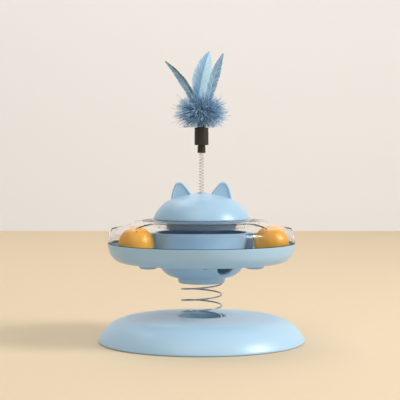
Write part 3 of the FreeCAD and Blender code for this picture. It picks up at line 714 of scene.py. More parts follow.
@dataclass(frozen=True)
class ClearPlastic(Finish):
    """Polished see-through plastic that lets lamps through.

    The gloss comes from a coat, and the wall under it bends light only a little, as a thin wall does.
    Below the seam height, in millimetres, where the wall sits in another piece, its colour fades to a
    painted shade of the gap.
    """

    roughness: float = 0.02
    unevenness: float = 0.015
    bending: float = 1.06
    gloss: float = 0.35
    gloss_bending: float = 1.49
    gloss_roughness: float = 0.14
    seam: float = 98.8
    seam_fade: float = 0.8
    painted_seam_shade: float = 0.12
    bright: float = 0.985
    shadow: Point = (0.86, 0.87, 0.88)

    def wire(self, tree: NodeTree, shader: Node) -> None:
        """Makes the shader clear, and swaps it for a plain clear one where light only passes through.

        Args:
            tree: the material's tree.
            shader: its Principled shader.
        """
        skin = self.group(tree, "moulded_skin", {
            "Clouding": 0.0, "Roughness": self.roughness, "Unevenness": self.unevenness})
        place = tree.nodes.new("ShaderNodeTexCoord").outputs["Object"]
        height = add_node(tree, "SeparateXYZ", {0: place}).outputs["Z"]
        # Painted shade: below the seam height the wall's colour drops to the seam shade, standing in for
        # the shadow in the gap where it sits in another piece.
        tone = add_node(tree, "MapRange", {
            0: height, 1: self.seam * MM, 2: (self.seam + self.seam_fade) * MM,
            3: self.painted_seam_shade, 4: self.bright})
        fill(tree, shader, {
            "Base Color": tone.outputs[0], "Roughness": skin["Roughness"], "Transmission Weight": 1.0,
            "IOR": self.bending, "Coat Weight": self.gloss, "Coat IOR": self.gloss_bending,
            "Coat Roughness": self.gloss_roughness})
        path = tree.nodes.new("ShaderNodeLightPath").outputs
        passing = maths(tree, "MAXIMUM", path["Is Shadow Ray"], path["Is Diffuse Ray"])
        clear = add_node(tree, "BsdfTransparent", {"Color": (*self.shadow, 1)})
        mix = add_node(tree, "MixShader", {0: passing, 1: shader.outputs[0], 2: clear.outputs[0]})
        fill(tree, tree.nodes["Material Output"], {"Surface": mix.outputs[0]})


@dataclass(frozen=True)
class Fibre(Finish):
    """Tinsel or feather, darker at the root and paler at the tip; on the tinsel that is partly painted
    shade and painted sheen.
    """

    pale: Colour = (0.8, 0.9, 1.0)
    shift: float = 0.6
    fineness: float = 500.0
    roughness: float = 0.6
    sheen: float = 0.3
    grain: float = 0.02

    def wire(self, tree: NodeTree, shader: Node) -> None:
        """Links the fibre group to colour and bump, with a soft sheen.

        Args:
            tree: the material's tree.
            shader: its Principled shader.
        """
        skin = self.group(tree, "fibre_tone_and_shade", {
            "Pale": linear(self.pale), "Shift": self.shift, "Fineness": self.fineness})
        fill(tree, shader, {"Base Color": skin["Colour"], "Roughness": self.roughness,
                            "Sheen Weight": self.sheen, "Sheen Roughness": 0.5})
        self.bump(tree, shader, skin["Grain"], self.grain)


SHELL_BLUE = MouldedPlastic("satin_blue_shell", Slot.BLUE, (0.655, 0.79, 0.885), roughness=0.30)
# Painted light: the base is the shell's blue plastic painted paler, standing in for the extra light and
# sky reflection that the base's top catches.
LIGHTENED_BASE_BLUE = MouldedPlastic("satin_blue_base_lightened", Slot.BLUE, (0.70, 0.83, 0.915), roughness=0.34, grain=0.002)
HIDDEN_BLUE = MouldedPlastic("plain_blue_inner", Slot.BLUE, (0.60, 0.735, 0.835), roughness=0.5)
AMBER_BALL = MouldedPlastic("amber_ball", Slot.AMBER, (0.99, 0.70, 0.20), roughness=0.42, clouding=0.08)
DARK_CAP = MouldedPlastic("dark_brown_cap", Slot.DARK, (0.17, 0.145, 0.12), roughness=0.42, clouding=0.12)
PALE_RUBBER = MouldedPlastic("pale_rubber_foot", Slot.RUBBER, (0.80, 0.82, 0.83), roughness=0.8,
                             clouding=0.1, grain=0.02)
COVER_CLEAR = ClearPlastic("polished_clear_cover", Slot.CLEAR, (0.985, 0.99, 0.995))
SPRING_WIRE = Steel("bright_spring_wire", Slot.SPRING, (0.74, 0.75, 0.77), roughness=0.26)
WAND_WIRE = Steel("fine_wand_wire", Slot.SPRING, (0.76, 0.74, 0.71), roughness=0.34)
SCREW_STEEL = Steel("zinc_screw", Slot.SCREW, (0.70, 0.71, 0.73), roughness=0.35)
CAST_WEIGHT = Steel("cast_iron_weight", Slot.IRON, (0.26, 0.26, 0.27), roughness=0.7, patching=0.4,
                    grain=0.05)
# Painted shade and sheen, in part: the tinsel's deep blue roots stand in for the shade inside the tuft,
# and its pale tips for a painted sheen.
TINSEL_FIBRE = Fibre("blue_tinsel", Slot.TINSEL, (0.20, 0.36, 0.53), pale=(0.62, 0.79, 0.91), shift=1.0,
                     fineness=900.0, roughness=0.4)
# Painted light, in part: the vane's own pale blue is pushed close to white, standing in for light that the
# vane, lying edge-on to the key lamp, does not catch.
PALE_VANE_LIGHTENED = Fibre("pale_blue_vane", Slot.FEATHER, (0.82, 0.95, 1.0), pale=(0.76, 0.93, 1.0), shift=0.22)
BLUE_VANE = Fibre("blue_vane", Slot.FEATHER, (0.55, 0.72, 0.84), pale=(0.58, 0.77, 0.89))
SLATE_VANE = Fibre("slate_blue_vane", Slot.FEATHER, (0.49, 0.62, 0.72), pale=(0.53, 0.67, 0.77))
GREY_VANE = Fibre("grey_vane", Slot.FEATHER, (0.45, 0.57, 0.68), pale=(0.42, 0.50, 0.58), shift=0.8)
FEATHER_QUILL = Fibre("pale_feather_quill", Slot.FEATHER, (0.62, 0.76, 0.87), pale=(0.74, 0.85, 0.93),
                      shift=0.1, fineness=300.0, sheen=0.1)


def paint(piece: Object, finish: Finish) -> None:
    """Gives an object one finish all over."""
    piece.data.materials.clear()
    piece.data.materials.append(finish.build())


# Sub-assemblies.


@dataclass
class CoilPath:
    """The middle line of a coil spring with flat end turns, in millimetres and degrees."""

    wire: float
    radius: float
    pitch: float
    bottom: float
    climb_start: float
    climb_end: float
    flat: float
    points_per_turn: int
    roundness: int
    ease: float = 45.0

    def climbed(self, angle: float) -> float:
        """How far an eased climb has come.

        Args:
            angle: how far past the climb's start, in degrees.

        Returns:
            The climb, in degrees of full pitch.
        """
        if angle <= -self.ease:
            return 0.0
        if angle >= self.ease:
            return angle
        return (angle + self.ease) ** 2 / (4 * self.ease)

    def height(self, angle: float) -> float:
        """The middle line's height at an angle."""
        return self.bottom + self.pitch / 360 * (
            self.climbed(angle - self.climb_start) - self.climbed(angle - self.climb_end))

    def angle_at(self, height: float) -> float:
        """The angle at which the climbing part passes a height."""
        return self.climb_start + (height - self.bottom) / self.pitch * 360

    def points(self, first: float, last: float) -> list[Vector]:
        """Points on the middle line.

        Args:
            first: the angle at which they start.
            last: the angle at which they end.

        Returns:
            The points, in metres.
        """
        count = max(2, math.ceil((last - first) / 360 * self.points_per_turn))
        line = []
        for step in range(count + 1):
            angle = first + (last - first) * step / count
            turn = math.radians(angle)
            line.append(Vector((self.radius * math.cos(turn), self.radius * math.sin(turn),
                                self.height(angle))) * MM)
        return line


@dataclass(frozen=True)
class Length:
    """One length of a spring, which runs between two bodies from one height to another."""

    name: str
    below: Body
    above: Body
    start: float
    end: float
    nodes: tuple[str, ...] = ()


@dataclass
class SubAssembly:
    """A group of pieces that is built and dressed together."""

    pieces: list[Object] = field(default_factory=list, init=False)

    def keep(self, piece: Object, finish: Finish, body: Body, *nodes: str) -> None:
        """Dresses a new piece and fixes it to its body.

        Args:
            piece: the finished object.
            finish: the finish it gets.
            body: the rigid body it moves with.
            nodes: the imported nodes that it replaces.
        """
        self.dress(piece, finish)
        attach(piece, body.value)
        self.enter(piece, body.value, nodes)

    def wind(self, path: CoilPath, finish: Finish, cuts: Sequence[float],
             lengths: Sequence[Length]) -> None:
        """Winds a coil spring in lengths, each of which runs between two bodies.

        Args:
            path: the spring's middle line and wire.
            finish: the finish it gets.
            cuts: the heights at which one length ends and the next starts.
            lengths: the lengths, from the lowest up.
        """
        stops = [path.climb_start - path.flat, *map(path.angle_at, cuts), path.climb_end + path.flat]
        for length, first, last in zip(lengths, stops, stops[1:]):
            piece = wire_along(length.name, path.points(first, last), path.wire / 2 * MM, path.roundness)
            self.dress(piece, finish)
            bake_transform(piece)
            self.enter(piece, f"{length.below.value} to {length.above.value}", length.nodes)

    def dress(self, piece: Object, finish: Finish) -> None:
        """Gives a piece its finish."""
        paint(piece, finish)

    def enter(self, piece: Object, place: str, nodes: Sequence[str]) -> None:
        """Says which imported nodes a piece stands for, and reports it.

        Args:
            piece: the dressed piece.
            place: the body or bodies that it moves with, for the report.
            nodes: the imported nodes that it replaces.
        """
        if nodes:
            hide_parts(*nodes)
        self.pieces.append(piece)
        LOG.info("%s on %s, %d faces", piece.name, place, len(piece.data.polygons))

    def dress_nodes(self, finish: Finish, *names: str) -> None:
        """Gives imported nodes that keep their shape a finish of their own.

        Args:
            finish: the finish they get.
            names: the nodes.
        """
        for name in names:
            paint(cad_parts[name], finish)
            LOG.info("%s keeps its packed shape", name)


@dataclass
class Base(SubAssembly):
    """The weighted base that stands on the floor."""

    radius: float = 103.6
    socket_radius: float = 23.6
    crown_height: float = 26.0
    shoulder: tuple[float, float] = (73.4, 23.8)
    side_round: float = 36.0
    wall: float = 2.4
    socket_floor: float = 15.0

    def build(self) -> None:
        """Builds the domed shell and dresses the pieces inside it."""
        wide, high = self.shoulder
        socket = self.socket_radius
        floor_under = self.socket_floor - self.wall
        shell = turned("base_dome", [
            Corner(102.8, 0.3, arc=1.3), Corner(self.radius, 1.5, arc=self.side_round),
            Corner(wide, high), Corner(socket + 2.2, self.crown_height, arc=2.2),
            Corner(socket, self.crown_height - 2.2), Corner(socket, self.socket_floor, soften=0.6),
            Corner(0, self.socket_floor), Corner(0, floor_under), Corner(socket + self.wall, floor_under),
            Corner(socket + self.wall, self.crown_height - 2.6),
            Corner(wide - 0.2, high - self.wall, arc=self.wall - self.side_round), Corner(101.0, 1.5),
            Corner(101.3, 0.3, soften=0.3),
        ])
        self.keep(shell, LIGHTENED_BASE_BLUE, Body.BASE, "base_shell")
        self.dress_nodes(HIDDEN_BLUE, "base_plate", "lower_spring_clamp")
        self.dress_nodes(CAST_WEIGHT, "base_weight")
        self.dress_nodes(PALE_RUBBER, "foot_ring")
        self.dress_nodes(SCREW_STEEL, "base_screws", "lower_clamp_screws")


@dataclass
class MainSpring(SubAssembly):
    """The coil spring that carries the saucer, in three lengths split at the joints."""

    path: CoilPath = field(default_factory=lambda: CoilPath(
        wire=1.5, radius=20.3, pitch=11.15, bottom=16.0, climb_start=-282.1, climb_end=1299.9, flat=289.0,
        points_per_turn=40, roundness=4))
    cuts: tuple[float, float] = (46.0, 54.0)
    ends: tuple[float, float] = (14.0, 63.5)

    def build(self) -> None:
        """Winds the wire and splits it at the two cut heights."""
        (low, high), (foot, head) = self.cuts, self.ends
        self.wind(self.path, SPRING_WIRE, self.cuts, (
            Length("spring_foot_turns", Body.BASE, Body.SPRING_FOOT, foot, low, ("main_spring_lower",)),
            Length("spring_middle_turns", Body.SPRING_FOOT, Body.SPRING_HEAD, low, high),
            Length("spring_head_turns", Body.SPRING_HEAD, Body.SAUCER, high, head, ("main_spring_upper",)),
        ))


@dataclass
class Hub(SubAssembly):
    """The bowl under the saucer, whose neck takes the spring."""

    mouth_radius: float = 21.8
    rim_radius: float = 43.5
    ceiling: float = 66.0
    rim_height: float = 79.6
    side_round: float = 20.3
    leak_radius: float = 10.2
    leak_turn: float = -55.0
    drill_length: float = 16.0
    tab_ring: float = 49.0
    tab_turn: float = 35.0
    tab_half: float = 4.5
    tab_foot: float = 77.8
    tab_middle: float = 78.69
    tab_depth: float = 1.78

    def build(self) -> None:
        """Builds the bowl, its screw tabs and its leak holes."""
        bowl = turned("hub_bowl_shell", [
            Corner(self.mouth_radius, 58.9, soften=0.3), Corner(self.mouth_radius + 0.4, 58.9, arc=1.3),
            Corner(23.2, 60.2), Corner(24.0, 64.6, soften=0.7), Corner(28.9, 65.1, arc=self.side_round),
            Corner(self.rim_radius, self.rim_height, soften=0.3),
            Corner(41.5, self.rim_height, arc=2.0 - self.side_round), Corner(31.2, self.ceiling + 2),
            Corner(0, self.ceiling + 2), Corner(0, self.ceiling),
            Corner(self.mouth_radius, self.ceiling, soften=0.5),
        ])
        tabs = []
        for number in range(3):
            turn = self.tab_turn + 120 * number
            low = (41.9, -self.tab_half, self.tab_foot)
            tabs.append(box_tool(low, (self.tab_ring, self.tab_half, self.rim_height - 0.02), turn))
            middle = (*(heading(turn) * self.tab_ring).xy, self.tab_middle)
            tabs.append(rod_tool(middle, (0, 0, 1), self.tab_half, self.tab_depth))
        combine(bowl, tabs, "UNION")
        drills = []
        for turn in (self.leak_turn, self.leak_turn + 180):
            way = heading(turn)
            middle = way * (self.rim_radius - 1.2) + Vector((0, 0, self.rim_height - 1.2))
            drills.append(rod_tool(middle, way - Vector((0, 0, 1)), self.leak_radius, self.drill_length))
        combine(bowl, drills, "DIFFERENCE")
        self.keep(bowl, SHELL_BLUE, Body.SAUCER, "hub_bowl")
        self.dress_nodes(HIDDEN_BLUE, "upper_spring_clamp")
        self.dress_nodes(SCREW_STEEL, "upper_clamp_screws", "hub_screws")


@dataclass
class Saucer(SubAssembly):
    """The track tray, the treat cup and the spouts."""

    tray_floor: float = 81.4
    cup_radius: float = 46.7
    cup_mouth: float = 109.7
    gutter_reach: float = 51.2
    gutter_half: float = 8.0
    window_half: float = 6.4
    spout_place: float = 53.3
    spout_collar: float = 9.2
    spout_bore: float = 7.7

    def build(self) -> None:
        """Builds the tray, the cup and both spouts."""
        self.tray()
        self.cup()
        self.spout("right_spout", 0, "right_chute")
        self.spout("left_spout", 180, "left_chute")

    def tray(self) -> None:
        """The saucer's lower shell, whose floor is the ball track."""
        tray = turned("track_tray_shell", [
            Corner(41.5, 79.6), Corner(77.5, 79.6, arc=15.5), Corner(92.0, 90.3, arc=60.0),
            Corner(94.1, 98.6, soften=0.4), Corner(92.9, 98.6, soften=0.3), Corner(92.9, 96.4),
            Corner(91.5, 96.4), Corner(90.4, 90.6, arc=-13.7), Corner(77.5, self.tray_floor),
            Corner(41.5, self.tray_floor),
        ], steps=192)
        drills = [rod_tool((side * self.spout_place, 0, 80), (0, 0, 1), 9.25, 8) for side in (-1, 1)]
        combine(tray, drills, "DIFFERENCE")
        self.keep(tray, SHELL_BLUE, Body.SAUCER, "track_tray")

    def cup(self) -> None:
        """The cup in the middle, with a window and a gutter at each side."""
        radius, foot = self.cup_radius, self.tray_floor
        cup = turned("treat_cup_shell", [
            Corner(radius - 2, foot), Corner(52.8, foot, soften=0.2),
            Corner(52.8, foot + 1.8, soften=0.5), Corner(radius + 1.2, foot + 1.8, arc=-1.2),
            Corner(radius, foot + 3.0), Corner(radius, self.cup_mouth - 1, arc=1.0),
            Corner(radius - 1, self.cup_mouth, arc=1.0), Corner(radius - 2, self.cup_mouth - 1),
        ])
        hoods, cuts = [], []
        half, reach, gap = self.gutter_half, self.gutter_reach, self.window_half
        inner, brim = radius - 0.8, half + 0.8
        for turn, side in ((0, 1), (180, -1)):
            hoods.append(box_tool((inner, -half, foot + 1.5), (reach, half, 107.4), turn))
            hoods.append(box_tool((inner, -brim, 107.2), (reach + 1.4, brim, 108.6), turn))
            cuts.append(box_tool((radius - 5, -gap, foot - 0.3), (reach - 1.6, gap, 104.5), turn))
            cuts.append(box_tool((radius - 5, -gap, foot + 1.8), (reach + 0.5, gap, 93.6), turn))
            cuts.append(rod_tool((side * self.spout_place, 0, foot), (0, 0, 1), self.spout_bore, 3.6))
        combine(cup, hoods, "UNION")
        combine(cup, cuts, "DIFFERENCE")
        round_edges(cup, 0.45, self.on_hood, 2)
        self.keep(cup, SHELL_BLUE, Body.SAUCER, "treat_cup")

    def on_hood(self, edge: BMEdge) -> bool:
        """Whether an edge of the cup belongs to a window or its hood."""
        corner = edge.verts[0].co
        return abs(corner.x) > 45.5 * MM and corner.z > 84.5 * MM

    def spout(self, name: str, turn: float, node: str) -> None:
        """A shallow round scoop under the tray, open to the outside above a slanting lip.

        Args:
            name: the piece's name.
            turn: how far it is turned round the toy, in degrees.
            node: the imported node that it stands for.
        """
        under, foot, radius, wall = 79.6, 72.5, 9.7, 1.4
        collar, bore = self.spout_collar, self.spout_bore
        scoop = turned(name, [
            Corner(0, foot), Corner(radius - 3.5, foot, arc=3.5), Corner(radius, foot + 3.5),
            Corner(radius, under), Corner(collar, under), Corner(collar, self.tray_floor, soften=0.2),
            Corner(bore, self.tray_floor, soften=0.2), Corner(bore, under - 0.6),
            Corner(radius - wall, under - 1.2), Corner(radius - wall, foot + 3.5, arc=-2.1),
            Corner(radius - 3.5, foot + wall), Corner(0, foot + wall),
        ], steps=72)
        mouth = finished(prism([
            Corner(-6.0, under), Corner(radius + 2, 74.5), Corner(radius + 2, under),
        ], 15.0), "tool")
        combine(scoop, [mouth], "DIFFERENCE")
        round_edges(scoop, 0.35, lambda edge: 74.0 * MM < edge.verts[0].co.z < 78.5 * MM, 2)
        scoop.data.transform(Matrix.Rotation(math.radians(turn), 4, "Z")
                             @ Matrix.Translation((self.spout_place * MM, 0, 0)))
        self.keep(scoop, SHELL_BLUE, Body.SAUCER, node)


@dataclass
class Cover(SubAssembly):
    """The see-through upper shell with its collar and three paw windows."""

    window_inner: float = 66.0
    window_outer: float = 90.0
    window_half_turn: float = 40.5
    window_foot: float = 108.4
    window_depth: float = 16.0
    first_window: float = 30.0

    def window_ends(self) -> tuple[float, float]:
        """The radius that a window's round ends are centred on, and their own radius."""
        return (self.window_inner + self.window_outer) / 2, (self.window_outer - self.window_inner) / 2

    def build(self) -> None:
        """Turns the shell and cuts the windows."""
        cover = turned("clear_cover_shell", [
            Corner(91.9, 96.7), Corner(92.8, 96.7), Corner(92.8, 98.7), Corner(93.9, 98.7, soften=0.3),
            Corner(93.4, 104.0, soften=4.0), Corner(92.3, 109.0, arc=10.2),
            Corner(84.5, 116.4, soften=2.0), Corner(62.5, 121.9, soften=3.0),
            Corner(51.5, 123.4, soften=0.6), Corner(49.8, 123.4, soften=0.4), Corner(49.0, 122.6),
            Corner(42.4, 122.6, soften=0.4), Corner(42.4, 115.2), Corner(36.2, 115.2, soften=0.4),
            Corner(36.2, 113.6, soften=0.4), Corner(43.6, 113.6, soften=0.6), Corner(43.6, 121.4),
            Corner(57.0, 121.4), Corner(57.0, 117.2, soften=0.4), Corner(58.4, 117.2, soften=0.4),
            Corner(58.4, 121.1), Corner(62.3, 120.7, soften=3.0), Corner(84.1, 115.25, arc=-9.0),
            Corner(91.1, 108.8, soften=3.0), Corner(92.2, 103.9), Corner(92.5, 100.4), Corner(91.9, 99.5),
        ], steps=192)
        cutters = [self.window_tool(self.first_window + 120 * number) for number in range(3)]
        combine(cover, cutters, "DIFFERENCE")
        round_edges(cover, 0.45, self.on_window_rim)
        self.keep(cover, COVER_CLEAR, Body.SAUCER, "clear_cover")

    def window_tool(self, turn: float) -> Object:
        """A kidney-shaped block that cuts one window.

        Args:
            turn: where the window's middle is, in degrees.

        Returns:
            The cutter.
        """
        middle, end = self.window_ends()
        half = math.radians(self.window_half_turn)
        rim: list[tuple[float, float]] = []
        for radius, sweep in ((self.window_outer, 1), (self.window_inner, -1)):
            for step in range(49):
                angle = sweep * half * (step / 24 - 1)
                rim.append((radius * math.cos(angle), radius * math.sin(angle)))
            tip = sweep * half
            for step in range(1, 16):
                angle = tip + (0 if sweep > 0 else math.pi) + math.pi * step / 16
                rim.append((middle * math.cos(tip) + end * math.cos(angle),
                            middle * math.sin(tip) + end * math.sin(angle)))
        bm = bmesh.new()
        face = bm.faces.new([bm.verts.new((x * MM, y * MM, self.window_foot * MM)) for x, y in rim])
        push(bm, face, (0, 0, self.window_depth * MM))
        turning = Matrix.Rotation(math.radians(turn), 3, "Z")
        bmesh.ops.rotate(bm, cent=(0, 0, 0), matrix=turning, verts=bm.verts[:])
        bmesh.ops.recalc_face_normals(bm, faces=bm.faces[:])
        return finished(bm, "window_tool")

    def on_window_rim(self, edge: BMEdge) -> bool:
        """Whether an edge lies on a window's rim."""
        return all(self.near_rim(vert.co.xy) for vert in edge.verts)

    def near_rim(self, point: Vector) -> bool:
        """Whether a point lies on a window's outline, seen from above.

        Args:
            point: the point's X and Y, in metres.

        Returns:
            True where it does.
        """
        slack, spacing = 0.2 * MM, FULL_TURN / 3
        first, half = math.radians(self.first_window), math.radians(self.window_half_turn)
        middle, end = self.window_ends()
        turn = math.atan2(point.y, point.x)
        nearest = first + round((turn - first) / spacing) * spacing
        off = turn - nearest
        sides = (abs(point.length - side * MM) for side in (self.window_outer, self.window_inner))
        if abs(off) <= half + 0.01 and min(sides) < slack:
            return True
        tip = heading(math.degrees(nearest + math.copysign(half, off))).xy
        return abs((point - tip * middle * MM).length - end * MM) < slack


@dataclass
class TrackBall(SubAssembly):
    """A hollow track ball moulded in two halves, with the fine line where they join."""

    name: str
    node: str
    body: Body
    turn: float
    lean: tuple[float, float]
    radius: float = 17.5
    track: float = 70.5
    height: float = 99.2
    groove: float = 0.16

    def build(self) -> None:
        """Turns the ball with its joint line, leans it and sets it on the track."""
        radius, groove = self.radius, self.groove
        half = math.sqrt(radius**2 - groove**2)
        ball = turned(self.name, [
            Corner(0, -radius, arc=radius), Corner(half, -groove), Corner(radius - 0.25, 0),
            Corner(half, groove, arc=radius), Corner(0, radius),
        ], closed=False, steps=96)
        about_x, about_y = (
            Matrix.Rotation(math.radians(lean), 4, axis) for lean, axis in zip(self.lean, "XY"))
        place = (heading(self.turn) * self.track + Vector((0, 0, self.height))) * MM
        ball.data.transform(Matrix.Translation(place) @ about_x @ about_y)
        self.keep(ball, AMBER_BALL, self.body, self.node)


@dataclass
class CatHeadLid(SubAssembly):
    """The domed lid with its two ears and ribbed plug."""

    radius: float = 48.2
    seat: float = 122.6
    brow: tuple[float, float] = (31.1, 142.5)
    side_round: float = 34.8
    crown_round: float = 85.6
    top: float = 148.6
    wall: float = 2.2
    plug_radius: float = 35.0
    plug_foot: float = 113.4
    rib_rises: tuple[float, ...] = (3.2, 5.4, 7.6)
    hole: float = 4.6
    ear_half: float = 3.5

    def build(self) -> None:
        """Builds the dome with its plug, joins the ears and dresses the hidden pieces."""
        wide, high = self.brow
        plug, foot = self.plug_radius, self.plug_foot
        ribs: list[Corner] = []
        for rise in self.rib_rises:
            low = foot + rise
            ribs += [Corner(plug, low), Corner(plug + 0.9, low, soften=0.25),
                     Corner(plug + 0.9, low + 0.8, soften=0.25), Corner(plug, low + 0.8)]
        lid = turned("cat_head_dome", [
            Corner(self.hole, self.top - self.wall - 0.13, arc=self.wall - self.crown_round),
            Corner(wide - 0.9, high - 2.0, arc=self.wall - self.side_round), Corner(plug - 2, 138.9),
            Corner(plug - 2, foot, soften=0.3), Corner(plug, foot, soften=0.3),
            *ribs,
            Corner(plug, 137.5, arc=self.wall - self.side_round),
            Corner(self.radius - self.wall + 0.1, self.seat, soften=0.3),
            Corner(self.radius - 0.6, self.seat, arc=0.8),
            Corner(self.radius, self.seat + 0.8, arc=self.side_round),
            Corner(wide, high, arc=self.crown_round), Corner(self.hole, self.top - 0.12, soften=0.4),
        ], steps=192)
        combine(lid, [self.ear(1), self.ear(-1)], "UNION")
        round_edges(lid, 0.9, self.at_ear_foot, 4)
        self.keep(lid, SHELL_BLUE, Body.LID, "cat_head_lid")
        self.dress_nodes(HIDDEN_BLUE, "plug_cap")
        self.dress_nodes(SHELL_BLUE, "wand_socket")
        self.dress_nodes(SCREW_STEEL, "cap_screws")

    def ear(self, side: int) -> Object:
        """An upright rounded ear with a shallow hollow in its front.

        Args:
            side: 1 for the ear on +X, -1 for the other.

        Returns:
            The ear, ready to be joined to the dome.
        """
        bm = prism([
            Corner(11.5, 144.6), Corner(29.2, 140.3), Corner(30.2, 143.4, arc=36.0),
            Corner(26.9, 156.2, arc=5.4), Corner(18.6, 158.9, arc=53.0), Corner(9.6, 147.4),
        ], self.ear_half)
        rims = [edge for edge in bm.edges if abs(edge.verts[0].co.y - edge.verts[1].co.y) < 0.1 * MM]
        bmesh.ops.bevel(bm, geom=rims, offset=1.3 * MM, offset_type="OFFSET", segments=5, profile=0.5,
                        affect="EDGES", material=-1, clamp_overlap=True)
        bm.normal_update()
        front = max(bm.faces, key=lambda item: -item.normal.y * item.calc_area())
        bmesh.ops.inset_region(bm, faces=[front], thickness=0.5 * MM)
        bm.normal_update()
        bmesh.ops.inset_region(bm, faces=[front], thickness=0.8 * MM, depth=-0.6 * MM)
        if side < 0:
            bmesh.ops.scale(bm, vec=(-1, 1, 1), verts=bm.verts[:])
            bmesh.ops.recalc_face_normals(bm, faces=bm.faces[:])
        return finished(bm, "ear")

    def at_ear_foot(self, edge: BMEdge) -> bool:
        """Whether an edge lies where an ear meets the dome.

        Args:
            edge: an edge of the lid.

        Returns:
            True where it does.
        """
        centre = Vector((0, 0, (self.top - self.crown_round) * MM))
        return all(
            abs((vert.co - centre).length - self.crown_round * MM) < 0.3 * MM
            and abs(vert.co.x) > 8 * MM and abs(vert.co.y) < 4.5 * MM
            for vert in edge.verts)


@dataclass
class Wand(SubAssembly):
    """The thin spring, its ferrule and the cap that holds the plume."""

    path: CoilPath = field(default_factory=lambda: CoilPath(
        wire=0.6, radius=2.2, pitch=2.93, bottom=139.2, climb_start=0.0, climb_end=6560.0, flat=230.0,
        points_per_turn=20, roundness=1))
    ends: tuple[float, float] = (146.0, 187.0)
    pivot: float = 165.0

    def build(self) -> None:
        """Winds the spring in two lengths and turns the ferrule and the cap."""
        low, high = self.ends
        self.wind(self.path, WAND_WIRE, (self.pivot,), (
            Length("wand_lower_turns", Body.LID, Body.WAND, low, self.pivot, ("wand_spring",)),
            Length("wand_upper_turns", Body.WAND, Body.TEASER, self.pivot, high),
        ))
        ferrule = turned("wand_ferrule_sleeve", [
            Corner(2.75, 188.8, soften=0.2), Corner(4.0, 188.8, soften=0.5), Corner(4.0, 194.9),
            Corner(3.75, 195.1), Corner(3.75, 196.6), Corner(0, 196.6), Corner(0, 193.2),
            Corner(2.75, 193.2),
        ], steps=64)
        self.keep(ferrule, DARK_CAP, Body.TEASER, "wand_ferrule")
        cap = turned("feather_cap_sleeve", [
            Corner(0, 196.6), Corner(7.0, 196.6, soften=0.7), Corner(7.0, 210.6), Corner(6.75, 210.8),
            Corner(6.75, 211.4), Corner(7.0, 211.6), Corner(7.0, 214.0, soften=0.6),
            Corner(4.6, 214.0, soften=0.4), Corner(4.6, 203.4), Corner(0, 203.4),
        ], steps=96)
        self.keep(cap, DARK_CAP, Body.TEASER, "feather_cap")


